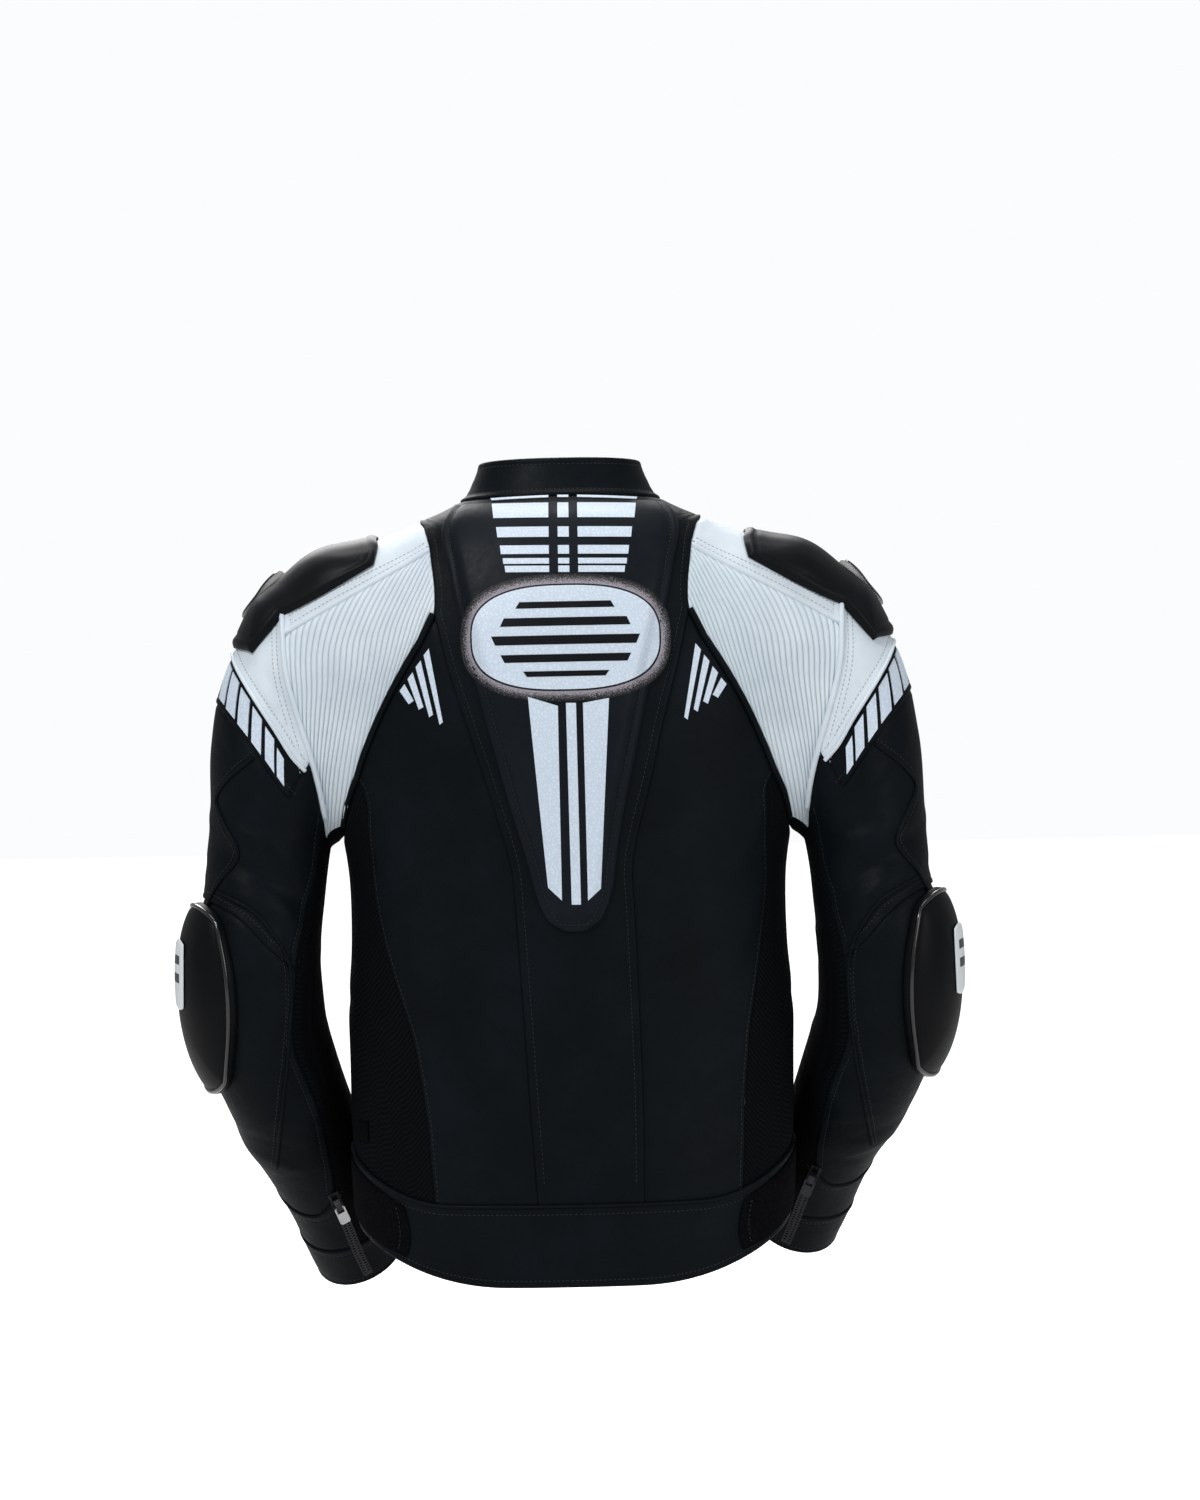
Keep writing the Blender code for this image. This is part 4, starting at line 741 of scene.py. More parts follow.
# Top and bottom of a row at its left end, then its left and right end; the right end is lower by LADDER_FALL
LADDER = [
    (-6.2, -18.5, 52.8, -59.5), (-25.9, -34.1, 49.2, -56.0), (-40.7, -47.5, 46.4, -53.3),
    (-50.8, -55.2, 44.3, -51.6), (-56.8, -61.8, 42.9, -49.9),
]
LADDER_COLUMNS = [(None, 8.6), (1.6, -7.0), (-13.8, None)]
LADDER_FALL = 1.6
TAIL = [
    [(26.7, -158.2), (3.9, -165.6), (4.0, -315.1), (14.5, -304.9)],
    [(-2.3, -163.4), (-10.0, -163.6), (-10.5, -318.5), (-3.4, -318.4)],
    [(-15.3, -163.7), (-35.3, -160.3), (-26.1, -306.6), (-16.0, -315.5)],
]


def print_film(name, dark, light):
    """Heat-pressed polyurethane film: slightly blue white, satin, cracked into 3 mm cells by the grain."""
    material, tree, surface = new_material(name)
    place = add_node(tree, "ShaderNodeTexCoord").outputs["Object"]
    bend = add_node(tree, "ShaderNodeTexNoise", {"Vector": place, "Scale": 220.0, "Detail": 3.0})
    cells = add_node(
        tree, "ShaderNodeTexVoronoi", {"Vector": place, "Scale": 1000.0 / 3.0, "Randomness": 1.0},
        feature="DISTANCE_TO_EDGE",
    )
    tone = add_node(tree, "ShaderNodeValToRGB", {"Fac": cells.outputs["Distance"]})
    tone.color_ramp.elements[0].position, tone.color_ramp.elements[0].color = 0.0, linear(dark)
    tone.color_ramp.elements[1].position, tone.color_ramp.elements[1].color = 0.25, linear(light)
    tree.links.new(tone.outputs["Color"], surface.inputs["Base Color"])
    surface.inputs["Roughness"].default_value = 0.42
    surface.inputs["Specular IOR Level"].default_value = 0.4
    crinkle = add_node(
        tree, "ShaderNodeMath", {0: cells.outputs["Distance"], 1: bend.outputs["Fac"]}, operation="MULTIPLY"
    )
    bump = add_node(tree, "ShaderNodeBump", {"Height": crinkle.outputs[0], "Distance": 0.35 * MM})
    tree.links.new(bump.outputs["Normal"], surface.inputs["Normal"])
    return material


white_print = print_film("white_transfer_film", "#c3cfdd", "#d0ddec")


def place_on(point, x, z):
    """Table places that show at x and z on a surface given by a function of a width and a height."""
    across, height = np.array(x, float), np.array(z, float)
    for _ in range(14):
        found = point(across, height, np.zeros(across.shape))
        across = across + 0.8 * (x - found[..., 0])
        height = height + 0.8 * (z - found[..., 2])
    return across, height


def printed(name, point, blocks, material, slot, under=PRINT_UNDER, over=PRINT_OVER):
    """Print on a surface: each block has four corners as seen, from its top left one clockwise or the other way."""
    shape = bmesh.new()
    for corners in blocks:
        first, second, third, fourth = (np.array(corner, float) for corner in corners)
        wide = max(np.linalg.norm(second - first), np.linalg.norm(third - fourth))
        tall = max(np.linalg.norm(fourth - first), np.linalg.norm(third - second))
        across = np.linspace(0, 1, max(2, math.ceil(wide / PRINT_STEP)) + 1)[None, :, None]
        down = np.linspace(0, 1, max(2, math.ceil(tall / PRINT_STEP)) + 1)[:, None, None]
        flat = (1 - down) * ((1 - across) * first + across * second) + down * ((1 - across) * fourth + across * third)
        spots = place_on(point, flat[..., 0], flat[..., 1])
        slab(shape, *(point(*spots, np.full(spots[0].shape, height)) for height in (under, over)))
    return jacket_piece(piece_from(name, shape, [material]), slot)


ladder_blocks = []
for TOP, BOTTOM, LEFT, RIGHT in LADDER:
    WIDTH = LEFT - RIGHT
    for START, END in LADDER_COLUMNS:
        start, end = LEFT if START is None else START, RIGHT if END is None else END
        falls = [LADDER_FALL * (LEFT - edge) / WIDTH for edge in (start, end)]
        taper = 0.12 * (TOP - BOTTOM)
        low_start, low_end = (start - taper if START is None else start), (end + taper if END is None else end)
        ladder_blocks.append([
            (start, TOP - falls[0]), (end, TOP - falls[1]),
            (low_end, BOTTOM - falls[1]), (low_start, BOTTOM - falls[0]),
        ])
printed("hump_stripes", on_hump, ladder_blocks + TAIL, white_print, "white_leather")

# --- Plain plate in the middle of the hump -----------------------------------------------------------------
# White film in an oval with five plain slots, sewn round, and a grey speckled shade sprayed round it.

PLATE_MIDDLE = (-3.0, -113.0)
PLATE_HALF = (72.0, 40.0)
PLATE_POWER = 2.6
# Slots: height over the plate's middle, half width, height
SLOT_LEAN, SLOT_SHIFT = 3.0, 1.0
PLATE_SLOTS = [(24.0, 38.0, 5.0), (11.0, 50.0, 6.4), (-3.0, 54.0, 7.0), (-17.0, 47.0, 6.0), (-29.0, 30.0, 4.2)]
SHADE_START, SHADE_WIDTH = 1.4, 9.0         # from the plate's edge
OVAL_POINTS = 120


def oval(grow, count):
    """Points round the plate, grown by a distance."""
    turn = np.linspace(0, 2 * math.pi, count + 1)
    x = (PLATE_HALF[0] + grow) * signed_power(np.cos(turn), 2 / PLATE_POWER)
    z = (PLATE_HALF[1] + grow) * signed_power(np.sin(turn), 2 / PLATE_POWER)
    return np.stack([PLATE_MIDDLE[0] + x, PLATE_MIDDLE[1] + z], -1)


def speckled_shade():
    """Sprayed shade: grey dots on the black hide, close together at the plate and thin at the outer edge."""
    material, tree, surface = new_material("sprayed_grey_shade")
    coordinates = add_node(tree, "ShaderNodeTexCoord")
    across = add_node(tree, "ShaderNodeSeparateXYZ", {"Vector": coordinates.outputs["UV"]})
    dots = add_node(tree, "ShaderNodeTexNoise", {
        "Vector": coordinates.outputs["Object"], "Scale": 1300.0, "Detail": 2.0, "Roughness": 0.7,
    })
    limit = add_node(tree, "ShaderNodeMapRange", {
        "Value": across.outputs["Y"], "From Min": 0.0, "From Max": 1.0, "To Min": 0.26, "To Max": 0.64,
    })
    shown = add_node(tree, "ShaderNodeMath", {0: dots.outputs["Fac"], 1: limit.outputs["Result"]},
                     operation="SUBTRACT")
    sharp = add_node(tree, "ShaderNodeMapRange", {"Value": shown.outputs[0], "From Min": 0.0, "From Max": 0.16})
    mixed = add_node(
        tree, "ShaderNodeMix", {0: sharp.outputs["Result"], 6: linear("#101216"), 7: linear("#96919a")},
        data_type="RGBA",
    )
    tree.links.new(mixed.outputs[2], surface.inputs["Base Color"])
    surface.inputs["Roughness"].default_value = 0.6
    surface.inputs["Specular IOR Level"].default_value = 0.3
    return material


def ring_on_hump(name, rings, under, over, material, uv_rows=None):
    """Closed band or disc on the hump between ovals."""
    flat = np.stack(rings)
    spots = place_on(on_hump, flat[..., 0], flat[..., 1])
    layers = [on_hump(*spots, np.full(spots[0].shape, height)) for height in (under, over)]
    shape = bmesh.new()
    slab(shape, *layers, closed=True)
    uv = None
    if uv_rows is not None:
        rows = np.broadcast_to(np.array(uv_rows)[:, None], flat.shape[:2]) / MM
        uv = np.stack([np.zeros(rows.shape), rows], axis=-1)
    return jacket_piece(piece_from(name, shape, [material], uv), "badge")


plate_edge = oval(0.0, OVAL_POINTS) - PLATE_MIDDLE
plate_rings = [PLATE_MIDDLE + plate_edge * part for part in np.linspace(0.02, 1.0, 32)]
ring_on_hump("hump_plate", plate_rings, PRINT_UNDER + 0.1, PRINT_OVER + 0.4, white_print)
shade_parts = np.linspace(0.0, 1.0, 5)
shade_rings = [oval(SHADE_START + (SHADE_WIDTH - SHADE_START) * part, OVAL_POINTS) for part in shade_parts]
ring_on_hump("hump_shade", shade_rings, PRINT_UNDER, PRINT_OVER - 0.06, speckled_shade(), shade_parts)

slot_ink = leather("black_print", "#0a0d11", "#10141a", 0.45, 1.9, 0.05, 0.10, 0.12)
slot_blocks = []
for RISE, HALF, TALL in PLATE_SLOTS:
    middle, level = PLATE_MIDDLE[0], PLATE_MIDDLE[1] + RISE + SLOT_SHIFT
    upper = HALF - math.copysign(SLOT_LEAN, RISE)
    slot_blocks.append([
        (middle + upper, level + TALL / 2), (middle - upper, level + TALL / 2),
        (middle - HALF, level - TALL / 2), (middle + HALF, level - TALL / 2),
    ])
printed("hump_plate_slots", on_hump, slot_blocks, slot_ink, "badge", 0.4, 0.85)


def seen_on_hump(x, z):
    return on_hump(*place_on(on_hump, x, z), np.zeros(np.shape(x)))


stitches("hump_plate_stitches", seen_on_hump, no_relief, [(oval(0.7, 160), 0.0, None)], black_thread, "badge")

# --- Side panels of the back -------------------------------------------------------------------------------
# Black cowhide from the armhole to the waistband on both sides, with a welt along the armhole
# and slanted bars of white film below it.

SIDE_BACK_SEAM = [
    (-219, 163, 0), (-224, 160, 0), (-260, 156, -1), (-312, 154, -3), (-345, 149, -4), (-378, 142, -6),
    (-427, 131, -9), (-476, 125, -11), (-545, 120, -12),
]
TIP_ANGLE_ARMHOLE = 166
WELT_RADIUS = 2.6
WELT_LIFT = 0.9
# Bars as seen: top left, top right, bottom right, bottom left, for the wearer's left side
SIDE_BARS = [
    [(107.0, -124.0), (103.0, -119.0), (93.0, -176.0), (95.5, -178.0)],
    [(113.5, -133.0), (109.5, -128.0), (100.5, -170.0), (103.5, -172.0)],
    [(120.0, -142.0), (116.0, -137.0), (108.0, -164.0), (111.5, -166.0)],
    [(126.5, -151.0), (122.5, -146.0), (115.5, -159.0), (119.5, -161.5)],
]
side_back = through(SIDE_BACK_SEAM)


def evenly_down(first, count):
    return np.linspace(first[1], WAIST_SEAM, count + 1)[1:]


def waist_run(start, end, count):
    angle = np.linspace(start, end, count + 1)
    return np.stack([angle, waist_height(angle)], -1)


armhole_back = armhole_run(finer(RIBBED_ANGLES[2:]))
seam_count = len(princess_seams[1]) - 1
side_back_seams = {
    side: seam_down(side_back, side, armhole_back[-1], evenly_down(armhole_back[-1], seam_count))
    for side in SIDE_NAMES
}


def piping(name, lines, radius, material, slot):
    """Leather piping: a cord covered with a folded strip, caught in the seam along each line of points."""
    curve = bpy.data.curves.new(name, "CURVE")
    curve.dimensions = "3D"
    curve.bevel_depth = radius * MM
    curve.bevel_resolution = 2
    curve.use_fill_caps = True
    for line in lines:
        spline = curve.splines.new("POLY")
        spline.points.add(len(line) - 1)
        for point, place in zip(spline.points, line * MM):
            point.co = (*place, 1.0)
    curve.materials.append(material)
    thing = bpy.data.objects.new(name, curve)
    bpy.context.scene.collection.objects.link(thing)
    return jacket_piece(thing, slot)


def raised_line(surface, relief, places, lift, side=1, distance=0.0, pitch=4.0):
    """Points along a line of places, lifted off the surface."""
    places = evenly(surface, places, pitch)
    if distance:
        places = beside(surface, places, distance)
    u, v = places[:, 0], places[:, 1]
    points = surface(u, v) + (relief(u, v, side) + lift)[:, None] * normal(surface, u, v)
    return on_side(points, surface, side)


def on_back(x, height, over):
    """Point over the back of the body."""
    angle = body_angle(x, height)
    lift = body_relief(angle, height) + over
    return body(angle, height) + lift[..., None] * normal(body, angle, height)


for SIDE, NAME in SIDE_NAMES.items():
    foot = waist_run(princess_seams[SIDE][-1][0], side_back_seams[SIDE][-1][0], len(armhole_back) - 1)
    grid = patch(armhole_back, side_back_seams[SIDE], foot, princess_seams[SIDE])
    cut_piece(
        f"back_side_{NAME}", body, body_relief, grid, [black_leather, lining], "black_leather",
        {"l": "under", "r": "flat", "t": "under", "b": "under"}, SIDE,
    )
    welt = raised_line(body, body_relief, armhole_run(RIBBED_ANGLES[2:] + [TIP_ANGLE_ARMHOLE]), WELT_LIFT, SIDE)
    piping(f"armhole_welt_{NAME}", [welt], WELT_RADIUS, black_leather, "black_leather")
    stitches(
        f"side_back_stitches_{NAME}", body, body_relief,
        [(side_back_seams[SIDE], -3.1, "flat")], black_thread, "black_leather", SIDE,
    )
    bars = [[(SIDE * x, z) for x, z in corners] for corners in SIDE_BARS]
    printed(f"side_bars_{NAME}", on_back, bars, white_print, "white_leather", -0.3, 0.45)

# --- Stretch panels under the arms -------------------------------------------------------------------------
# Aramid stretch fabric from the armhole to the waistband: a ribbed black weave, two millimetres a rib.

SIDE_FRONT_SEAM = [(-234, 160), (-300, 152), (-380, 146), (-460, 144), (-540, 142)]
UNDERARM_ANGLES = [174, 182, 190, 202, 215]
FRONT_ANGLES = [215, 235, 255, 275, 295, 315, 335]
side_front = through(SIDE_FRONT_SEAM)


def stretch_weave():
    """Woven stretch fabric: matt near black, with painted light on the weave's ribs, lighter on their crests and darker
    between them.
    """
    material, tree, surface = new_material("aramid_stretch_fabric")
    place = add_node(tree, "ShaderNodeTexCoord").outputs["UV"]
    ribs = add_node(tree, "ShaderNodeTexWave", {"Vector": place, "Scale": 1000.0 / 2.0 / math.tau, "Distortion": 0.4},
                    bands_direction="Y")
    yarn = add_node(tree, "ShaderNodeTexNoise", {"Vector": place, "Scale": 1400.0, "Detail": 2.0})
    # Painted highlight and shade: the wave that raises the ribs in the bump also makes their crests lighter and the
    # hollows darker
    tone = add_node(tree, "ShaderNodeValToRGB", {"Fac": ribs.outputs["Fac"]})
    tone.color_ramp.elements[0].color, tone.color_ramp.elements[1].color = linear("#050607"), linear("#0d0f12")
    tree.links.new(tone.outputs["Color"], surface.inputs["Base Color"])
    surface.inputs["Roughness"].default_value = 0.85
    surface.inputs["Specular IOR Level"].default_value = 0.04
    fuzz = add_node(tree, "ShaderNodeBump", {"Height": yarn.outputs["Fac"], "Distance": 0.15 * MM})
    bump = add_node(tree, "ShaderNodeBump", {
        "Height": ribs.outputs["Fac"], "Distance": 0.35 * MM, "Normal": fuzz.outputs["Normal"],
    })
    tree.links.new(bump.outputs["Normal"], surface.inputs["Normal"])
    return material


stretch_fabric = stretch_weave()
armhole_under = armhole_run(finer(RIBBED_ANGLES[-1:] + [TIP_ANGLE_ARMHOLE] + UNDERARM_ANGLES))
side_front_seam = seam_down(
    side_front, 1, armhole_under[-1], evenly_down(armhole_under[-1], seam_count), at_front=True
)
for SIDE, NAME in SIDE_NAMES.items():
    foot = waist_run(side_back_seams[SIDE][-1][0], side_front_seam[-1][0], len(armhole_under) - 1)
    grid = patch(armhole_under, side_front_seam, foot, side_back_seams[SIDE])
    cut_piece(
        f"side_panel_{NAME}", body, body_relief, grid, [stretch_fabric, lining], "stretch_fabric",
        {"l": "under", "r": "under", "t": "under", "b": "under"}, SIDE,
    )

# --- Fronts ------------------------------------------------------------------------------------------------
# Two plain black cowhide fronts, each from the zip to the armhole and the stretch panel, topstitched at the zip.

ZIP_HALF_WIDTH = 7.0
ZIP_ANGLE = 180.0 - float(body_angle(ZIP_HALF_WIDTH, np.array(-300.0)))
FRONT_COLUMNS = 24
front_edge = joined(shoulder_seam, armhole_run(finer([360, 348] + FRONT_ANGLES[::-1])), side_front_seam)
front_grid = np.linspace(front_edge, front_edge, FRONT_COLUMNS + 1, axis=1)
front_grid[..., 0] = np.linspace(front_edge[:, 0], ZIP_ANGLE, FRONT_COLUMNS + 1, axis=1)
front_grid[-1, :, 1] = waist_height(front_grid[-1, :, 0])
for SIDE, NAME in SIDE_NAMES.items():
    cut_piece(
        f"front_{NAME}", body, body_relief, front_grid, [black_leather, lining], "black_leather",
        {"l": "over", "r": "over", "t": "under", "b": "under"}, SIDE,
    )
    stitches(
        f"front_stitches_{NAME}", body, body_relief,
        [(front_grid[2:-1, -1], -TOPSTITCH, "over"), (side_front_seam, TOPSTITCH, "over")],
        black_thread, "black_leather", SIDE,
    )

# --- Waistband ---------------------------------------------------------------------------------------------
# Band of doubled black cowhide round the hem, piped along its top seam and topstitched above and below.

WAIST_ROWS = 6
HEM_STITCH = 5.0        # from an open edge to the row of stitches along it


def waistband_grid(start, end, count):
    top = waist_run(start, end, count)
    hem = np.stack([top[:, 0], hem_height(top[:, 0])], -1)
    return patch(top, straight(top[-1], hem[-1], WAIST_ROWS), hem, straight(top[0], hem[0], WAIST_ROWS))


front_foot = side_front_seam[-1][0]
waist_seams = {"t": "over", "b": "open", "l": "flat", "r": "flat"}
back_band = waistband_grid(-front_foot, front_foot, 120)
cut_piece(
    "waistband_back", body, body_relief, back_band, [black_leather, lining], "black_leather", waist_seams,
)
piping(
    "waist_piping_back", [raised_line(body, body_relief, back_band[0], 0.7)], 1.5, black_leather, "black_leather"
)
stitches(
    "waist_stitches_back", body, body_relief,
    [(back_band[0], -TOPSTITCH, "over"), (back_band[-1], HEM_STITCH, "open")], black_thread, "black_leather",
)
for SIDE, NAME in SIDE_NAMES.items():
    grid = waistband_grid(front_foot, ZIP_ANGLE, 40)
    cut_piece(
        f"waistband_front_{NAME}", body, body_relief, grid, [black_leather, lining], "black_leather",
        waist_seams, SIDE,
    )
    stitches(
        f"waist_stitches_front_{NAME}", body, body_relief,
        [(grid[0], -TOPSTITCH, "over"), (grid[-1], HEM_STITCH, "open")], black_thread, "black_leather", SIDE,
    )

# --- Collar ------------------------------------------------------------------------------------------------
# Low stand collar with a soft rolled top edge, black cowhide outside and mesh inside, open at the zip.

COLLAR_HEIGHT = 30.0
COLLAR_ROLL = 1.2               # radius of its rolled top edge
NECK_LINE = [
    [(54.0, -1.2), (8.6, -0.4), (8.6, -2.2), (53.0, -3.0)], [(1.6, -0.4), (-7.0, -0.5), (-7.0, -2.3), (1.6, -2.2)],
    [(-13.8, -0.6), (-61.0, -2.2), (-60.0, -4.0), (-13.8, -2.4)],
]
collar_angles = np.linspace(-ZIP_ANGLE, ZIP_ANGLE, 150)
collar_top = np.stack([collar_angles, np.full(150, COLLAR_HEIGHT)], -1)
collar_foot = np.stack([collar_angles, np.zeros(150)], -1)
collar_grid = patch(
    collar_top, straight(collar_top[-1], collar_foot[-1], 6), collar_foot, straight(collar_top[0], collar_foot[0], 6)
)
cut_piece(
    "collar", body, no_relief, collar_grid, [black_leather, lining], "black_leather",
    {"t": "open", "b": "over", "l": "flat", "r": "flat"},
)
piping(
    "collar_edge", [raised_line(body, no_relief, collar_top, -0.9, distance=-COLLAR_ROLL)], COLLAR_ROLL,
    black_leather, "black_leather",
)
stitches(
    "collar_stitches", body, no_relief,
    [(collar_top, -HEM_STITCH, "open"), (collar_foot, TOPSTITCH, "over")], black_thread, "black_leather",
)
printed("neck_line", on_back, NECK_LINE, white_print, "white_leather", 0.1, 0.6)

# --- Hook-and-loop tabs and side tag -----------------------------------------------------------------------
# A strap of loop pile on each side of the waistband, which takes a hook strip, with its edge bound and stitched.
# A small blank woven tag is caught in the left side seam above it.

WAIST_TAB = (70, 25, 22, 2.0)               # angle, half angle, half height, thickness
SIDE_TAG = (160, -489, 9, 15, 1.0)          # corner's x and height, width, height, thickness
TAB_EDGE, TAB_CROWN = 0.9, 0.3              # thickness of the tab's pressed edge, and its pile over the middle
TAB_STITCH_SINK = 0.35


def rounded_grid(columns, rows, roundness):
    """Grid over a square of -1 to 1 whose corners are rounded: 0 is a square and 1 a full round."""
    a, b = np.meshgrid(np.linspace(-1, 1, columns + 1), np.linspace(-1, 1, rows + 1))
    return a, b, a * np.sqrt(1 - roundness * b**2 / 2), b * np.sqrt(1 - roundness * a**2 / 2)


def laid_on(name, surface, relief, grid, base, rise, materials, slot, nodes=(), side=1, uv=None):
    """A piece that lies on the cloth: it starts above it by its base and is as thick as its rise."""
    u, v = grid[..., 0], grid[..., 1]
    facing = normal(surface, u, v)
    under = surface(u, v) + (relief(u, v, side) + base)[..., None] * facing
    over = under + np.broadcast_to(rise, u.shape)[..., None] * facing
    shape = bmesh.new()
    slab(shape, *(on_side(layer, surface, side) for layer in (under, over)))
    return jacket_piece(piece_from(name, shape, materials, uv), slot, *nodes)


def loop_pile():
    """Polyamide loop pile: matt, matted into small tufts, with painted light: the tufts lighter on their tops and
    darker between them.
    """
    material, tree, surface = new_material("polyamide_loop_pile")
    place = add_node(tree, "ShaderNodeTexCoord").outputs["Object"]
    tufts = add_node(tree, "ShaderNodeTexNoise", {"Vector": place, "Scale": 520.0, "Detail": 4.0, "Roughness": 0.7})
    # Painted highlight and shade: the noise that raises the tufts in the bump also makes their tops lighter and the
    # hollows darker
    tone = add_node(tree, "ShaderNodeValToRGB", {"Fac": tufts.outputs["Fac"]})
    tone.color_ramp.elements[0].position, tone.color_ramp.elements[0].color = 0.35, linear("#040405")
    tone.color_ramp.elements[1].position, tone.color_ramp.elements[1].color = 0.7, linear("#111215")
    tree.links.new(tone.outputs["Color"], surface.inputs["Base Color"])
    surface.inputs["Roughness"].default_value = 0.95
    surface.inputs["Specular IOR Level"].default_value = 0.03
    bump = add_node(tree, "ShaderNodeBump", {"Height": tufts.outputs["Fac"], "Distance": 0.7 * MM})
    tree.links.new(bump.outputs["Normal"], surface.inputs["Normal"])
    return material


pile = loop_pile()
around, half_angle, half_height, thickness = WAIST_TAB
a, b, wide, tall = rounded_grid(56, 32, 0.35)
tab_angle = around + half_angle * wide
tab_grid = np.stack([tab_angle, (waist_height(tab_angle) + hem_height(tab_angle)) / 2 - half_height * tall], -1)
crown = np.sqrt(1 - np.maximum(np.abs(a), np.abs(b)) ** 10)
stitch_dip = 0.7 * np.exp(-(((np.maximum(np.abs(a), np.abs(b)) - 0.87) / 0.035) ** 2))
tab_rise = TAB_EDGE + (thickness + TAB_CROWN - TAB_EDGE) * crown - stitch_dip
for SIDE, NAME in SIDE_NAMES.items():
    tab = laid_on(
        f"waist_tab_{NAME}_pile", body, body_relief, tab_grid, LAY_GAP, tab_rise, [pile], "loop_fabric",
        [f"waist_tab_{NAME}"], SIDE,
    )
    tab_flat, tab_area = flat_size(body(tab_grid[..., 0], tab_grid[..., 1]))
    ring = np.concatenate([tab_grid[4, 4:-4], tab_grid[4:-4, -5], tab_grid[-5, -5:3:-1], tab_grid[-5:3:-1, 4]])
    stitches(
        f"waist_tab_stitches_{NAME}", body,
        lambda u, v, side: body_relief(u, v, side) + LAY_GAP + thickness - TAB_STITCH_SINK,
        [(ring, 0.0, None)], black_thread, "loop_fabric", SIDE,
    )
x, top, width, tall, thickness = SIDE_TAG
x, height = np.meshgrid(np.linspace(x, x + width, 10), np.linspace(top, top - tall, 16))
tag_grid = np.stack([body_angle(x, height), height], -1)
laid_on(
    "side_tag_woven", body, body_relief, tag_grid, LAY_GAP, thickness, [stretch_fabric], "black_leather",
    ["side_tag_left"],
)

# --- Front zip ---------------------------------------------------------------------------------------------
# Moulded-tooth separating zip from the hem to the collar's top: woven tape with two rows of teeth that mesh.

TOOTH_PITCH = 1.5
FRONT_TOOTH = (4.6, 1.25, 1.7)              # across the chain, along it, height
FRONT_CHAIN_LIFT = 0.5


def zip_tape():
    """Woven polyester tape: fine black herringbone, slightly satin."""
    material, tree, surface = new_material("woven_zip_tape")
    place = add_node(tree, "ShaderNodeTexCoord").outputs["UV"]
    weave = add_node(tree, "ShaderNodeTexWave", {"Vector": place, "Scale": 1000.0 / 1.4 / math.tau, "Distortion": 1.5},
                     bands_direction="DIAGONAL")
    # Painted highlight and shade: the wave that raises the weave in the bump also makes its raised bands lighter and
    # the hollows darker
    tone = add_node(tree, "ShaderNodeValToRGB", {"Fac": weave.outputs["Fac"]})
    tone.color_ramp.elements[0].color, tone.color_ramp.elements[1].color = linear("#050506"), linear("#131417")
    tree.links.new(tone.outputs["Color"], surface.inputs["Base Color"])
    surface.inputs["Roughness"].default_value = 0.7
    bump = add_node(tree, "ShaderNodeBump", {"Height": weave.outputs["Fac"], "Distance": 0.2 * MM})
    tree.links.new(bump.outputs["Normal"], surface.inputs["Normal"])
    return material


def satin_metal(name, dark, light, roughness):
    """Die-cast zinc: a satin grey with faint tumbling marks and brighter worn spots."""
    material, tree, surface = new_material(name)
    place = add_node(tree, "ShaderNodeTexCoord").outputs["Object"]
    marks = add_node(tree, "ShaderNodeTexNoise", {"Vector": place, "Scale": 700.0, "Detail": 3.0})
    tone = add_node(tree, "ShaderNodeValToRGB", {"Fac": marks.outputs["Fac"]})
    tone.color_ramp.elements[0].color, tone.color_ramp.elements[1].color = linear(dark), linear(light)
    tree.links.new(tone.outputs["Color"], surface.inputs["Base Color"])
    rough = add_node(tree, "ShaderNodeMapRange", {
        "Value": marks.outputs["Fac"], "To Min": roughness - 0.08, "To Max": roughness + 0.1,
    })
    tree.links.new(rough.outputs["Result"], surface.inputs["Roughness"])
    surface.inputs["Metallic"].default_value = 1.0
    bump = add_node(tree, "ShaderNodeBump", {"Height": marks.outputs["Fac"], "Distance": 0.03 * MM})
    tree.links.new(bump.outputs["Normal"], surface.inputs["Normal"])
    return material


tape = zip_tape()
black_metal = satin_metal("black_nickel_zinc", "#26272a", "#4a4b4f", 0.34)
bright_metal = satin_metal("nickel_plated_zinc", "#a9abad", "#dcdddf", 0.26)


def zip_teeth(name, surface, places, size, lift, side=1):
    """Two rows of teeth that mesh along a line of places."""
    shape = bmesh.new()
    places = evenly(surface, places, TOOTH_PITCH)
    u, v = places[:, 0], places[:, 1]
    facing = normal(surface, u, v)
    centers = surface(u, v) + lift * facing
    path = unit(np.gradient(centers, axis=0))
    across = unit(np.cross(facing, path))
    wide, long, high = size
    for number, (center, *axes) in enumerate(zip(centers, across, path, np.cross(across, path))):
        sideways = 0.9 if number % 2 else -0.9
        center = on_side(center + sideways * axes[0], surface, side)
        turned = Matrix([list(row) for row in mirrored(np.stack(axes), side).T]).to_4x4()
        place = Matrix.Translation(Vector(center * MM)) @ turned @ Matrix.Diagonal((wide * MM, long * MM, high * MM, 1))
        bmesh.ops.create_cube(shape, size=1.0, matrix=place)
    bmesh.ops.recalc_face_normals(shape, faces=shape.faces[:])
    return jacket_piece(object_from(name, shape, [black_metal]), "zip_metal")


zip_angles = np.linspace(ZIP_ANGLE, 360 - ZIP_ANGLE, 11)
zip_heights = np.linspace(COLLAR_HEIGHT, float(hem_height(ZIP_ANGLE)), 130)
zip_grid = np.stack(np.meshgrid(zip_angles, zip_heights), -1)
cut_piece(
    "front_zip", body, no_relief, zip_grid, [tape, lining], "stretch_fabric",
    {"t": "open", "b": "open"},
)
chain = np.stack([np.full(200, 180.0), np.linspace(COLLAR_HEIGHT - 3, float(hem_height(180.0)) + 4, 200)], -1)
zip_teeth("front_zip_teeth", body, chain, FRONT_TOOTH, FRONT_CHAIN_LIFT)
for NODE in ("front_zip_slider", "front_zip_pull"):
    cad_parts[NODE].data.materials[0] = black_metal

# --- Shoulders of the sleeves ------------------------------------------------------------------------------
# A smooth strip of white cowhide from the neck to the cap seam, topstitched twice where it meets the ribs.

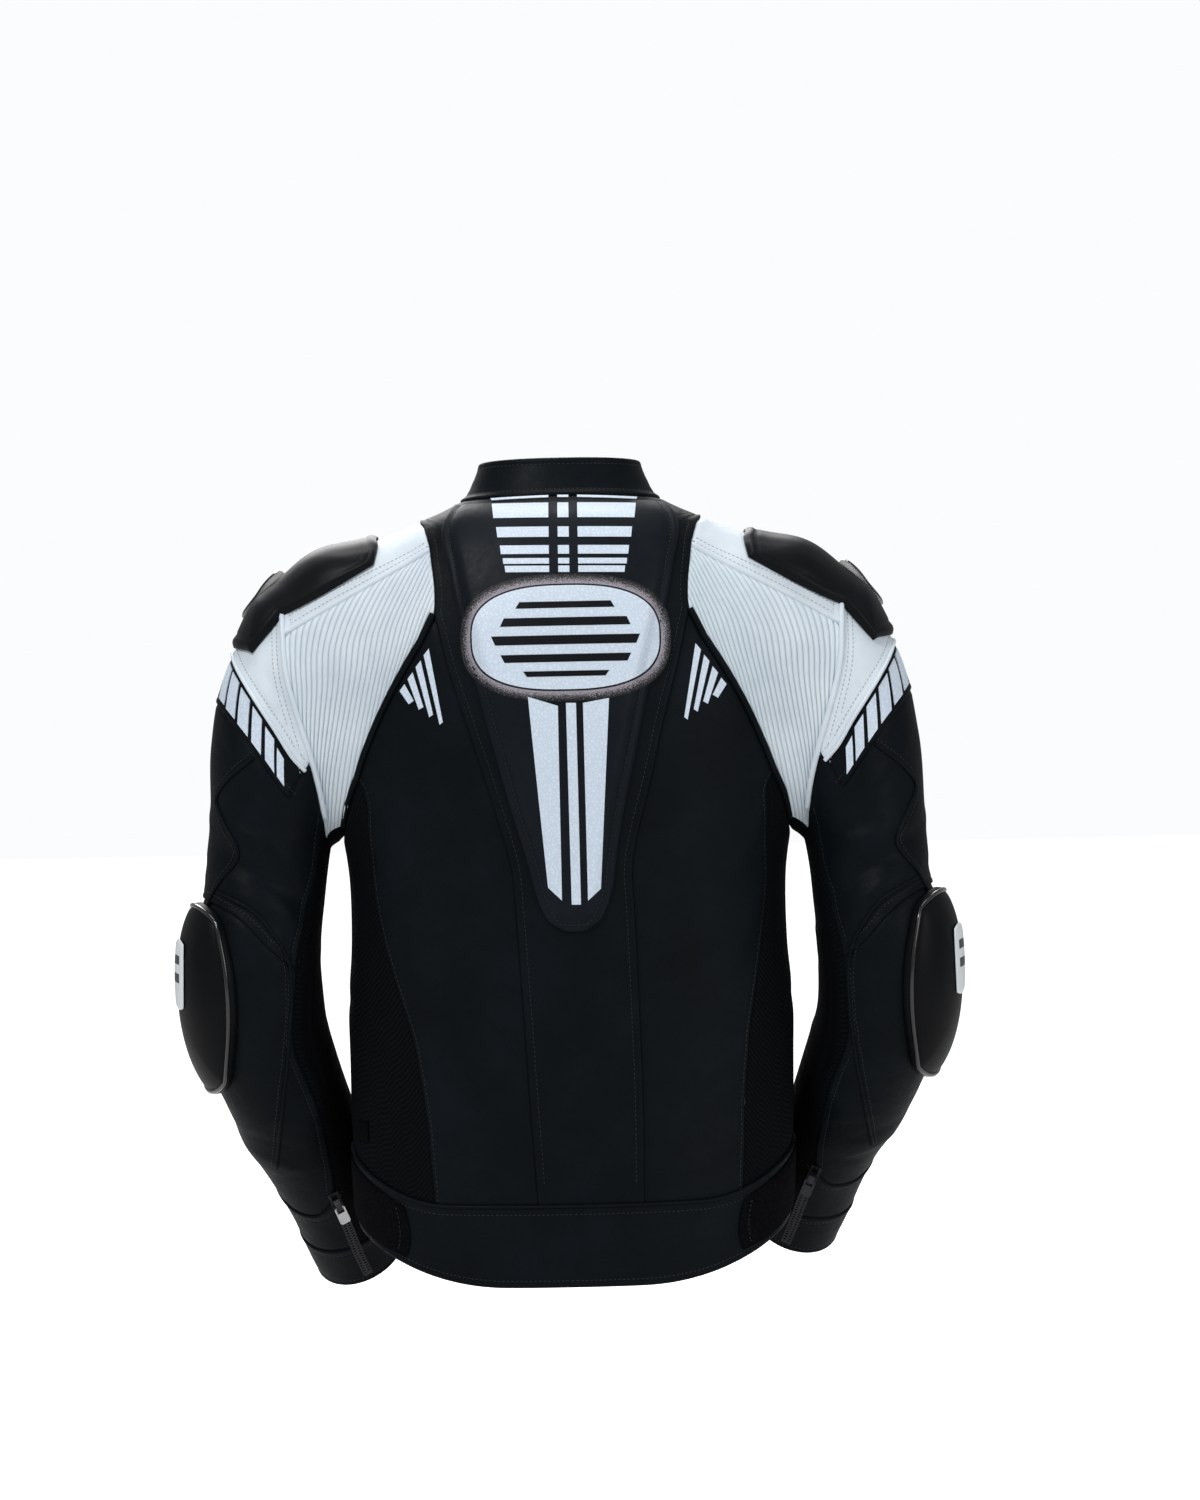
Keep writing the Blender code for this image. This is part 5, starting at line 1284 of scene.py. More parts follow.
SHOULDER_RUN = 120.0
RIGHT_TURN = (7.0, 9.0)         # the right sleeve's folds sit this far round and this much lower
CUFF_SEAM, SLEEVE_END = -579.0, -612.0
BAND_WIDTH = 30.0
SLEEVE_STEP = 4.0
# Angle round the sleeve, height of its centre at the cap seam
CAP_SEAM = [
    (0, -95), (24, -97), (48, -105), (63, -120), (78, -138), (92, -156), (106, -177), (120, -198),
    (134, -221), (148, -243), (162, -261), (180, -269), (198, -263), (215, -241), (235, -206),
    (255, -168), (275, -134), (295, -113), (315, -101), (335, -95),
]
# Height of the centre, its distance from the middle, its depth, half width, half depth
SLEEVE_SECTIONS = [
    (-60, 168, 2, 46, 52), (-100, 186, 4, 52, 59), (-150, 212, 6, 60, 62), (-200, 227, 8, 56, 60),
    (-250, 235, 9, 50, 57), (-290, 240, 10, 48, 55), (-320, 243, 12, 48, 55), (-350, 247, 14, 50, 56),
    (-385, 248, 12, 50.5, 57), (-420, 245, 2, 50, 57), (-455, 235, -14, 48.5, 56), (-490, 223, -34, 46, 53),
    (-525, 209, -56, 42, 48), (-560, 197, -80, 39.5, 43), (-590, 188, -102, 38.5, 41),
    (-620, 177, -124, 37.5, 38.5),
]
# Angle and height of the middle, reach in degrees, fall in mm for each degree, half width and rise
SLEEVE_FOLDS = [
    (95, -276, 45, 0.30, 11, 3.0), (100, -300, 50, 0.38, 10, -3.0), (88, -318, 45, 0.34, 10, 2.6),
    (290, -322, 60, -0.10, 12, -4.5), (285, -346, 60, 0.05, 12, 3.5), (280, -372, 60, 0.10, 12, -3.5),
    (120, -470, 40, -0.50, 12, 2.4), (60, -497, 50, 0.20, 11, 2.2),
]
SLEEVE_CREASES = [
    (40, -188, 108, -226, -8, 6, 1.0), (60, -206, 122, -240, -8, 6, -0.9), (74, -250, 132, -262, -7, 6, 1.3),
    (46, -262, 128, -288, 9, 5, 1.2), (58, -284, 134, -312, 9, 5, -1.2), (50, -300, 130, -330, 9, 5, 1.3),
    (64, -322, 126, -344, 7, 5, -1.1), (104, -362, 140, -380, 6, 6, 1.1), (100, -392, 142, -402, -5, 6, -1.0),
    (92, -426, 140, -448, 6, 5, 1.2), (84, -446, 138, -462, 6, 5, -1.2), (70, -462, 130, -480, 6, 4, 1.0),
    (40, -474, 100, -488, 5, 4, -0.9), (30, -488, 92, -506, 6, 4, 0.9), (60, -508, 120, -520, 5, 4, -0.7),
    (-20, -470, 40, -500, 6, 5, 0.9), (190, -330, 250, -350, 8, 6, 1.6), (190, -360, 262, -372, 8, 6, -1.7),
    (200, -390, 270, -400, 7, 6, 1.5), (196, -430, 262, -426, -6, 6, 1.2), (230, -300, 300, -320, 8, 6, 1.3),
    (236, -450, 300, -470, 7, 6, -1.1), (225, -500, 290, -520, 6, 5, 0.9), (240, -260, 310, -290, 7, 7, 1.0),
    (54, -150, 92, -176, 4, 5, 0.8), (66, -148, 104, -184, 4, 5, -0.7), (20, -122, 60, -146, 4, 6, 0.7),
    (-18, -250, 30, -268, 6, 6, 0.9), (-20, -290, 26, -300, 6, 6, -0.8),
]
SLEEVE_DEGREE = 0.95            # mm round a sleeve for one degree
ELBOW_CUP = (12, -383, 64, 62)              # angle and height of its middle, half angle, half height
SHOULDER_CUP = (-1, -20, 52, 65)            # angle and run of its middle, half angle, half run
CUFF_ZIP_MIDDLE = 107.0
# Height, angle
BACK_SLEEVE_SEAM = [
    (-243, 148), (-300, 146), (-340, 136), (-364, 131), (-385, 129), (-415, 124), (-450, 128), (-490, 125),
    (-515, 117), (-530, 110), (-579, 107),
]
# Cuts across the sleeve: angle, height
CAP_EDGE = [(-25, -146), (0, -143), (30, -148), (60, -162), (85, -181), (105, -200), (117, -208)]
ELBOW_SEAM = [(-25, -316), (20, -318), (55, -326), (85, -338), (105, -350), (120, -359), (131, -364)]
WRIST_SEAM = [(-25, -528), (20, -536), (55, -544), (85, -544), (100, -538), (110, -530)]
TIP_ANGLE_CAP = 161
TIP_CLEARANCE = 1.0
STRIP_FOOT = 63                 # where the smooth strip ends and the ribs start on the cap seam
TIP_DROP = 0.8

sleeve_section = through(SLEEVE_SECTIONS)
cap_height = through(CAP_SEAM, closed=True)
cap_edge = through(CAP_EDGE)
elbow_seam = through(ELBOW_SEAM)
wrist_seam = through(WRIST_SEAM)
back_sleeve_seam = through(BACK_SLEEVE_SEAM)


def turned_from(angle, middle):
    return (angle - middle + 180.0) % 360.0 - 180.0


def sleeve_fold(angle, height):
    rise = np.zeros(np.broadcast(angle, height).shape)
    for middle, level, reach, fall, half_width, lift in SLEEVE_FOLDS:
        turn = turned_from(angle, middle)
        off = (height - level + fall * turn) / half_width
        rise = rise + lift * np.exp(-off**2) * np.exp(-((turn / reach) ** 2))
    middle, level, half_angle, half_height = ELBOW_CUP
    turn = turned_from(angle, middle)
    return rise * smooth_step(1.0, 1.4, np.hypot(turn / half_angle, (height - level) / half_height))


def tube(angle, height):
    """Point of the sleeve below the cap seam; the height is that of the sleeve's centre."""
    angle, height = np.broadcast_arrays(np.asarray(angle, float), np.asarray(height, float))
    x, y, half_width, half_depth = np.moveaxis(sleeve_section(height), -1, 0)
    above, below = sleeve_section(height + 4.0), sleeve_section(height - 4.0)
    fall = np.stack([below[..., 0] - above[..., 0], below[..., 1] - above[..., 1], np.full(x.shape, -8.0)], -1)
    fall = unit(fall)
    outward = unit(np.array([1.0, 0.0, 0.0]) - fall[..., :1] * fall)
    backward = np.cross(outward, fall)
    rise = sleeve_fold(angle, height)
    across = ((half_width + rise) * np.cos(np.radians(angle)))[..., None] * outward
    along = ((half_depth + rise) * np.sin(np.radians(angle)))[..., None] * backward
    return np.stack([x, y, height], -1) + across + along


def tangent_towards(chord, facing):
    """The chord turned into the surface that faces this way, at its own length."""
    flat = chord - np.sum(chord * facing, axis=-1, keepdims=True) * facing
    return unit(flat) * np.linalg.norm(chord, axis=-1, keepdims=True)


def sleeve(angle, run):
    """Point of the left sleeve: run is zero at the cap seam, falls to -SHOULDER_RUN at the armhole
    and grows by a millimetre for each millimetre that the sleeve's centre is lower."""
    angle, run = np.broadcast_arrays(np.asarray(angle, float), np.asarray(run, float))
    seam = cap_height(angle)[..., 0]
    lower = tube(angle, seam - np.maximum(run, 0.0))
    part = np.clip(1.0 + run / SHOULDER_RUN, -0.01, 1.0)[..., None]
    around, height = armhole(angle)
    start, end = body(around, height), tube(angle, seam)
    chord = end - start
    smooth_start = tangent_towards(chord, normal(body, around, height))
    underarm = smooth_step(52, 22, np.abs((angle % 360.0) - 182.0))[..., None]
    leave = 0.75 * ((1 - underarm) * smooth_start + underarm * chord)
    around_arm = tangent_towards(chord, normal(tube, angle, seam))
    down_arm = unit(tube(angle, seam - 1.0) - end) * np.linalg.norm(chord, axis=-1, keepdims=True)
    arrive = 0.75 * ((1 - underarm) * around_arm + underarm * down_arm)
    rest = 1.0 - part
    upper = (
        (1 + 2 * part) * rest**2 * start
        + part * rest**2 * leave
        + part**2 * (3 - 2 * part) * end
        - part**2 * rest * arrive
    )
    return np.where(run[..., None] > 0, lower, upper)


def sleeve_relief(angle, run, side=1):
    """Soft folds of a worn sleeve; none under the cups, at the armhole and round the cuff zip."""
    height = cap_height(angle)[..., 0] - run
    turn = np.radians(angle)
    if side < 0:
        angle, height, turn = angle + RIGHT_TURN[0], height + RIGHT_TURN[1], turn + 1.3
    waves = 0.35 * np.sin(height / 17 + 2 * turn) + 0.3 * np.sin(height / 29 - 3 * turn + 1.0)
    rise = waves + sum(creases(SLEEVE_CREASES, SLEEVE_DEGREE, angle + shift, height) for shift in (-360, 0, 360))
    middle, level, half_angle, half_height = ELBOW_CUP
    free = smooth_step(1.0, 1.2, np.hypot(turned_from(angle, middle) / half_angle, (height - level) / half_height))
    middle, level, half_angle, half_run = SHOULDER_CUP
    free = free * smooth_step(0.9, 1.25, np.hypot(turned_from(angle, middle) / half_angle, (run - level) / half_run))
    at_zip = smooth_step(-500, -522, height) * smooth_step(30, 16, np.abs(turned_from(angle, CUFF_ZIP_MIDDLE)))
    return rise * free * (1 - at_zip) * smooth_step(-SHOULDER_RUN, -95, run) * smooth_step(-606, -580, height)


def below_cap(angle, height):
    """Run of the point of the sleeve whose centre is at this height."""
    return cap_height(angle)[..., 0] - height


def on_sleeve(angles, heights):
    """Sleeve places from angles and from heights of the sleeve's centre."""
    angles, heights = np.broadcast_arrays(np.array(angles, float), np.array(heights, float))
    return np.stack([angles, below_cap(angles, heights)], -1)


def seam_at(table, angles):
    return on_sleeve(angles, table(np.array(angles, float))[..., 0])


def back_seam_run(start, end, count):
    heights = np.linspace(start, end, count + 1)
    return on_sleeve(back_sleeve_seam(heights)[..., 0], heights)


FRONT_EDGE = SHOULDER_ANGLES[0]
CAP_END = 120
BAND_END_ANGLE = 108
CAP_ROWS, BAND_ROWS, UPPER_ROWS, ELBOW_ROWS, WRIST_ROWS, SHOULDER_ROWS = 3, 3, 15, 21, 3, 12
TIP_ROWS = SHOULDER_ROWS + CAP_ROWS + BAND_ROWS - 3
shoulder_angles, ribbed_angles = finer(SHOULDER_ANGLES), finer(RIBBED_ANGLES)
under_angles, front_angles = finer(UNDERARM_ANGLES), finer(FRONT_ANGLES)


def sleeve_seams():
    """Every seam of a sleeve as a list of places that the pieces on both of its sides share."""
    cap_angles = np.array(finer(SHOULDER_ANGLES[:-1] + RIBBED_ANGLES[:5] + [CAP_END]))
    spread = (cap_angles - FRONT_EDGE) / (CAP_END - FRONT_EDGE)
    cap_foot = seam_at(cap_edge, FRONT_EDGE + spread * (CAP_EDGE[-1][0] - FRONT_EDGE))
    band_angles = FRONT_EDGE + spread * (BAND_END_ANGLE - FRONT_EDGE)
    band_foot = on_sleeve(band_angles, cap_edge(band_angles)[..., 0] - BAND_WIDTH)
    cap_top = np.stack([cap_angles, np.zeros(cap_angles.shape)], -1)
    cap_rest = np.stack([finer([CAP_END, 134, 148]), np.zeros(7)], -1)
    band_end = straight(cap_foot[-1], band_foot[-1], BAND_ROWS)
    cap_end = straight(cap_top[-1], cap_foot[-1], CAP_ROWS)
    upper_top = joined(band_foot, band_end[::-1], cap_end[::-1], cap_rest)
    place = (upper_top[:, 0] - FRONT_EDGE) / (upper_top[-1, 0] - FRONT_EDGE)
    place = 0.5 * place + 0.5 * np.linspace(0, 1, len(place))
    elbow = seam_at(elbow_seam, FRONT_EDGE + place * (ELBOW_SEAM[-1][0] - FRONT_EDGE))
    wrist = seam_at(wrist_seam, FRONT_EDGE + place * (WRIST_SEAM[-1][0] - FRONT_EDGE))
    cuff = on_sleeve(FRONT_EDGE + place * (BACK_SLEEVE_SEAM[-1][1] - FRONT_EDGE), CUFF_SEAM)
    foot = float(back_sleeve_seam(np.array(CUFF_SEAM))[0])
    under_cuff = on_sleeve(np.linspace(foot, UNDERARM_ANGLES[-1], len(under_angles) + 3), CUFF_SEAM)
    inner_fold = np.array([(UNDERARM_ANGLES[-1], run) for run in (-SHOULDER_RUN, 0.0, 18.0)])
    return {
        "front_shoulder": straight((FRONT_EDGE, -SHOULDER_RUN), (FRONT_EDGE, 0.0), SHOULDER_ROWS),
        "front_cap": straight(cap_top[0], cap_foot[0], CAP_ROWS),
        "front_band": straight(cap_foot[0], band_foot[0], BAND_ROWS),
        "front_upper": straight(band_foot[0], elbow[0], UPPER_ROWS),
        "front_elbow": straight(elbow[0], wrist[0], ELBOW_ROWS),
        "front_wrist": straight(wrist[0], cuff[0], WRIST_ROWS),
        "back_upper": joined(
            straight((148.0, 0.0), on_sleeve(147.0, -262), 3),
            back_seam_run(-262, ELBOW_SEAM[-1][1], UPPER_ROWS - 3),
        ),
        "back_elbow": back_seam_run(ELBOW_SEAM[-1][1], WRIST_SEAM[-1][1], ELBOW_ROWS),
        "back_wrist": back_seam_run(WRIST_SEAM[-1][1], CUFF_SEAM, WRIST_ROWS),
        "cap_top": cap_top,
        "cap_foot": cap_foot,
        "cap_end": cap_end,
        "cap_rest": cap_rest,
        "band_foot": band_foot,
        "band_end": band_end,
        "upper_top": upper_top,
        "elbow": elbow,
        "wrist": wrist,
        "cuff": cuff,
        "under_cuff": under_cuff,
        "tip": straight((TIP_ANGLE_ARMHOLE, -SHOULDER_RUN), (TIP_ANGLE_CAP, 0.0), TIP_ROWS),
        "inner": joined(
            straight(inner_fold[0], inner_fold[1], TIP_ROWS),
            straight(inner_fold[1], inner_fold[2], 3),
            straight(inner_fold[2], under_cuff[-1], UPPER_ROWS + ELBOW_ROWS + WRIST_ROWS),
        ),
        "front_cuff": on_sleeve(front_angles, CUFF_SEAM),
    }


seam = sleeve_seams()

# White cowhide: cool white, semi-matt
white_leather = leather("white_cowhide", "#c6d1db", "#d8e2ea", 0.42, 1.9, 0.07, 0.35, 0.38)
grey_thread = thread("grey_polyester_thread", "#7d858d", "#a7aeb5")

top = np.stack([shoulder_angles, np.full(len(shoulder_angles), -SHOULDER_RUN)], -1)
foot = np.array([(angle, 0.0) for angle in finer(SHOULDER_ANGLES[:-1] + [STRIP_FOOT])])
inner_edge = straight(top[-1], foot[-1], SHOULDER_ROWS)
for SIDE, NAME in SIDE_NAMES.items():
    cut_piece(
        f"shoulder_panel_{NAME}", sleeve, sleeve_relief, patch(top, inner_edge, foot, seam["front_shoulder"]),
        [white_leather, lining], "white_leather", {"l": "flat", "r": "over", "t": "under", "b": "over"},
        SIDE, SLEEVE_STEP,
    )
    stitches(
        f"shoulder_stitches_{NAME}", sleeve, sleeve_relief,
        [(inner_edge, TOPSTITCH, "over"), (inner_edge, 14.0, None), (foot, -TOPSTITCH, "over")],
        grey_thread, "white_leather", SIDE,
    )

# --- Ribbed stretch panels of the shoulders ----------------------------------------------------------------
# White leather sewn over elastic in 26 narrow ribs, from the smooth strip down to a point under the arm.

RIB_COUNT = 26
RIB_HEIGHT = 1.5
RIB_SAMPLES = 9
RIB_MARGIN = 0.006
# Angle, then the first and the last rib that reach it: the others have ended at the armhole and at the cap seam
RIB_SPAN = [
    (48, 8, 26), (63, 3.5, 26), (78, 0, 26), (92, 0.6, 25.2), (106, 2.4, 23.2), (120, 4.8, 20.8),
    (134, 7, 18.6), (148, 8.6, 16.8), (166, 9.8, 15.6),
]

# The ribs' hide: thinner, and painted grey as shade in the valleys between the ribs
rib_leather = leather("white_stretch_leather", "#c8d4de", "#dbe5ec", 0.46, 1.9, 0.05, 0.22, 0.34)
tree = rib_leather.node_tree
surface = tree.nodes["Principled BSDF"]
plain = surface.inputs["Base Color"].links[0].from_socket
number = add_node(tree, "ShaderNodeSeparateXYZ", {"Vector": add_node(tree, "ShaderNodeTexCoord").outputs["UV"]})
# Painted shade: the base colour is mixed towards grey #8e99a4 along each groove between the ribs, where the rib number
# in the UVs is whole
valley = add_node(tree, "ShaderNodeMath", {0: number.outputs["Y"], 1: 0.5}, operation="PINGPONG")
shade = add_node(
    tree, "ShaderNodeMapRange", {"Value": valley.outputs[0], "From Max": 0.18, "To Min": 0.55, "To Max": 0.0}
)
grey = add_node(
    tree, "ShaderNodeMix", {0: shade.outputs["Result"], 6: plain, 7: linear("#8e99a4")}, data_type="RGBA"
)
tree.links.new(grey.outputs[2], surface.inputs["Base Color"])


top = np.array(ribbed_angles + [157.0, TIP_ANGLE_ARMHOLE - TIP_CLEARANCE])
foot = np.array(finer([STRIP_FOOT, 70.5] + RIBBED_ANGLES[2:]) + [154.0, TIP_ANGLE_CAP - TIP_CLEARANCE])
places = np.arange(2 * len(top) - 1) / 2
top, foot = (np.interp(places, np.arange(len(row)), row) for row in (top, foot))
first, last = np.moveaxis(through(RIB_SPAN)(top), -1, 0)
number = np.clip(np.linspace(0, RIB_COUNT, RIB_SAMPLES * RIB_COUNT + 1)[:, None], first, last)
part = RIB_MARGIN + (1 - 2 * RIB_MARGIN) * (number - first) / (last - first)
part[0], part[-1] = 0.0, 1.0
rib_grid = np.stack([(1 - part) * top + part * foot, SHOULDER_RUN * (part - 1)], -1)
angle = rib_grid[..., 0]
ends = smooth_step(0, 2.5, angle - angle[:, :1]) * smooth_step(0, 4.5, angle[:, -1:] - angle)
ends = ends * smooth_step(0, 0.35, number - first) * smooth_step(0, 0.35, last - number)
rib_rise = (RIB_HEIGHT * np.abs(np.sin(math.pi * number)) ** 0.6 - 0.3) * ends
rib_uv = np.stack([angle * SLEEVE_DEGREE * MM, number], -1) / MM
for SIDE, NAME in SIDE_NAMES.items():
    cut_piece(
        f"stretch_panel_{NAME}", sleeve, sleeve_relief, rib_grid, [rib_leather, lining], "white_leather",
        {"l": "under"}, SIDE,
        raised=rib_rise, uv=rib_uv,
    )

# --- Caps of the sleeves -----------------------------------------------------------------------------------
# White cowhide below the cap seam, with a rolled white welt above it and a thinner one along its lower edge.

CAP_WELT, CAP_FOOT_WELT = 2.3, 1.7

for SIDE, NAME in SIDE_NAMES.items():
    cut_piece(
        f"sleeve_cap_{NAME}", sleeve, sleeve_relief,
        patch(seam["cap_top"], seam["cap_end"], seam["cap_foot"], seam["front_cap"]),
        [white_leather, lining], "white_leather", {"l": "flat", "r": "under", "t": "over", "b": "over"},
        SIDE, SLEEVE_STEP,
    )
    stitches(
        f"cap_stitches_{NAME}", sleeve, sleeve_relief,
        [(seam["cap_top"], TOPSTITCH, "over"), (seam["cap_top"], 10.5, None), (seam["cap_foot"], -TOPSTITCH, "over")],
        grey_thread, "white_leather", SIDE,
    )
    for WELT, LINE, RADIUS, LIFT in (
        ("cap_welt", joined(seam["cap_top"], seam["cap_rest"]), CAP_WELT, 1.3),
        ("cap_foot_welt", seam["cap_foot"], CAP_FOOT_WELT, 1.0),
    ):
        line = raised_line(sleeve, sleeve_relief, LINE, LIFT, SIDE)
        piping(f"{WELT}_{NAME}", [line], RADIUS, white_leather, "white_leather")

# --- Bands below the caps ----------------------------------------------------------------------------------
# A band of black cowhide round the upper arm, with slanted blocks of white film pressed on it.

# Angle where a block starts and ends, its upper and lower edge below the cap's edge, and how far it leans
BAND_BLOCKS = [
    (16, 30, 4.0, 25.0, 5.0), (34, 47, 4.0, 25.5, 5.0), (51, 63, 4.5, 26.0, 5.0), (67, 77, 5.0, 26.0, 5.0),
    (81, 90, 6.0, 25.5, 5.0), (93, 100, 8.0, 25.0, 4.0),
]
for SIDE, NAME in SIDE_NAMES.items():
    cut_piece(
        f"sleeve_band_{NAME}", sleeve, sleeve_relief,
        patch(seam["cap_foot"], seam["band_end"], seam["band_foot"], seam["front_band"]),
        [black_leather, lining], "black_leather", {"l": "flat", "r": "under", "t": "under", "b": "over"},
        SIDE, SLEEVE_STEP,
    )
    stitches(
        f"band_stitches_{NAME}", sleeve, sleeve_relief, [(seam["band_foot"], -TOPSTITCH, "over")],
        black_thread, "black_leather", SIDE,
    )
    shape = bmesh.new()
    for START, END, TOP, BOTTOM, LEAN in BAND_BLOCKS:
        part, down = np.meshgrid(np.linspace(0, 1, 6), np.linspace(0, 1, 9))
        angle = START + (END - START) * part + LEAN * (down - 0.5)
        block = on_sleeve(angle, cap_edge(angle)[..., 0] - TOP - (BOTTOM - TOP) * down)
        u, v = block[..., 0], block[..., 1]
        facing, smooth = normal(sleeve, u, v), sleeve(u, v)
        layers = [smooth + (sleeve_relief(u, v, SIDE) + rise)[..., None] * facing for rise in (-0.3, 0.85)]
        slab(shape, *(on_side(layer, sleeve, SIDE) for layer in layers))
    jacket_piece(piece_from(f"band_blocks_{NAME}", shape, [white_print]), "white_leather")

# --- Back of the sleeves -----------------------------------------------------------------------------------
# Black cowhide from the band to the cuff in three pieces, joined by lapped seams with a row of stitches.

for SIDE, NAME in SIDE_NAMES.items():
    for PIECE, EDGES, KINDS in (
        ("upper_sleeve", ("upper_top", "back_upper", "elbow", "front_upper"), ("flat", "over", "under", "over")),
        ("elbow_panel", ("elbow", "back_elbow", "wrist", "front_elbow"), ("flat", "over", "under", "under")),
        ("wrist_panel", ("wrist", "back_wrist", "cuff", "front_wrist"), ("flat", "over", "over", "under")),
    ):
        cut_piece(
            f"{PIECE}_{NAME}", sleeve, sleeve_relief, patch(*(seam[edge] for edge in EDGES)),
            [black_leather, lining], "black_leather", dict(zip("lrtb", KINDS)),
            SIDE, SLEEVE_STEP,
        )
    stitches(
        f"sleeve_back_stitches_{NAME}", sleeve, sleeve_relief,
        [
            (seam["elbow"], -TOPSTITCH, "over"), (seam["wrist"], TOPSTITCH, "over"),
            (joined(seam["back_upper"], seam["back_elbow"]), TOPSTITCH, "over"),
        ],
        black_thread, "black_leather", SIDE,
    )

# --- Raised seams of the sleeves ---------------------------------------------------------------------------
# Cord piping along the shield that covers the outer arm, as seen from behind on the wearer's left.

PIPING_RADIUS = 1.5
SHIELD_LINES = [
    [(243, -200), (266, -218), (276, -233), (270, -250), (258, -276), (275, -300), (285, -319)],
    [(275, -305), (247, -320), (231, -339), (221, -359), (219, -385), (221, -420), (228, -470), (238, -529)],
]


def seen_on_sleeve(x, z):
    """Sleeve places behind the arm that show at x and z from behind."""
    angle, run = np.full(len(x), 60.0), 20.0 - z - 150.0
    for _ in range(60):
        found = sleeve(angle, run)
        run = run + 0.6 * (found[:, 2] - z)
        turn = (found[:, 0] - x) / 50.0 / np.maximum(np.sin(np.radians(angle)), 0.35)
        angle = np.clip(angle + 0.6 * np.degrees(np.clip(turn, -0.3, 0.3)), 5.0, 135.0)
    return np.stack([angle, run], -1)


shield_runs = []
for LINE in SHIELD_LINES:
    smooth_line = through([(number, *point) for number, point in enumerate(LINE)])(np.linspace(0, len(LINE) - 1, 60))
    shield_runs.append(seen_on_sleeve(smooth_line[:, 0], smooth_line[:, 1]))
for SIDE, NAME in SIDE_NAMES.items():
    lines = [raised_line(sleeve, sleeve_relief, run, 0.5, SIDE) for run in shield_runs]
    piping(f"shield_piping_{NAME}", lines, PIPING_RADIUS, black_leather, "black_leather")
    stitches(
        f"shield_stitches_{NAME}", sleeve, sleeve_relief, [(run, 4.5, None) for run in shield_runs],
        black_thread, "black_leather", SIDE,
    )

# --- Inside and front of the sleeves -----------------------------------------------------------------------
# A stretch fabric piece from the armhole to the cuff next to the body, and one of black cowhide in front.

under_top = np.array([(angle, -SHOULDER_RUN) for angle in finer([TIP_ANGLE_ARMHOLE] + UNDERARM_ANGLES)])
cap_part = straight(seam["tip"][-1], seam["back_upper"][0], 3) + np.array([0.0, TIP_DROP])
below = joined(seam["back_upper"], seam["back_elbow"], seam["back_wrist"])
under_back = np.vstack([seam["tip"][:-1], cap_part, below[1:]])
front_top = np.array([(angle, -SHOULDER_RUN) for angle in front_angles])
PARTS = ("shoulder", "cap", "band", "upper", "elbow", "wrist")
front_outer = joined(*(seam[f"front_{part}"] for part in PARTS)) + np.array([360.0, 0.0])
for SIDE, NAME in SIDE_NAMES.items():
    cut_piece(
        f"under_sleeve_{NAME}", sleeve, sleeve_relief,
        patch(under_top, seam["inner"], seam["under_cuff"], under_back, late=3), [stretch_fabric, lining],
        "stretch_fabric", {"l": "under", "r": "under", "t": "under", "b": "under"},
        SIDE, SLEEVE_STEP,
    )
    cut_piece(
        f"front_sleeve_{NAME}", sleeve, sleeve_relief,
        patch(front_top, front_outer, seam["front_cuff"], seam["inner"]), [black_leather, lining],
        "black_leather", {"l": "over", "r": "over", "t": "over", "b": "under"},
        SIDE, SLEEVE_STEP,
    )
    stitches(
        f"front_sleeve_stitches_{NAME}", sleeve, sleeve_relief,
        [(front_outer, TOPSTITCH, "over"), (seam["inner"], -TOPSTITCH, "over"), (front_top, TOPSTITCH, "over")],
        black_thread, "black_leather", SIDE,
    )

# --- Cuffs -------------------------------------------------------------------------------------------------
# A doubled band of black cowhide round each wrist, stitched along both edges.

cuff_angles = np.concatenate([seam["cuff"][:, 0], seam["under_cuff"][1:, 0], front_angles[1:]])
cuff_top, cuff_foot = on_sleeve(cuff_angles, CUFF_SEAM), on_sleeve(cuff_angles, SLEEVE_END)
cuff_grid = patch(
    cuff_top, straight(cuff_top[-1], cuff_foot[-1], 4), cuff_foot, straight(cuff_top[0], cuff_foot[0], 4)
)
for SIDE, NAME in SIDE_NAMES.items():
    cut_piece(
        f"cuff_{NAME}", sleeve, sleeve_relief, cuff_grid, [black_leather, lining], "black_leather",
        {"t": "over", "b": "open"}, SIDE, SLEEVE_STEP, closed=True,
    )
    stitches(
        f"cuff_stitches_{NAME}", sleeve, sleeve_relief,
        [(cuff_top, TOPSTITCH, "over"), (cuff_foot, -HEM_STITCH, "open")], black_thread, "black_leather", SIDE,
    )

# --- Shoulder cups -----------------------------------------------------------------------------------------
# Thermoformed cup with two broad ridges under a soft satin skin, sewn down round a double edge,
# and a gloss plate on it.

CUP_GAP = 1.2
SHOULDER_CUP_LEAN = -3.0
SHOULDER_CUP_EDGE, SHOULDER_CUP_FULL = 2.5, 8.0
SHOULDER_CUP_RIDGE, SHOULDER_CUP_CREST, SHOULDER_CUP_OUTER = 2.2, 0.43, 0.06
SHOULDER_PLATE = (-8, 4, 15, 24)            # angle, run, half angle, half run
PLATE_RISE = 11.0
PLATE_EDGE, PLATE_FULL = 1.0, 2.0


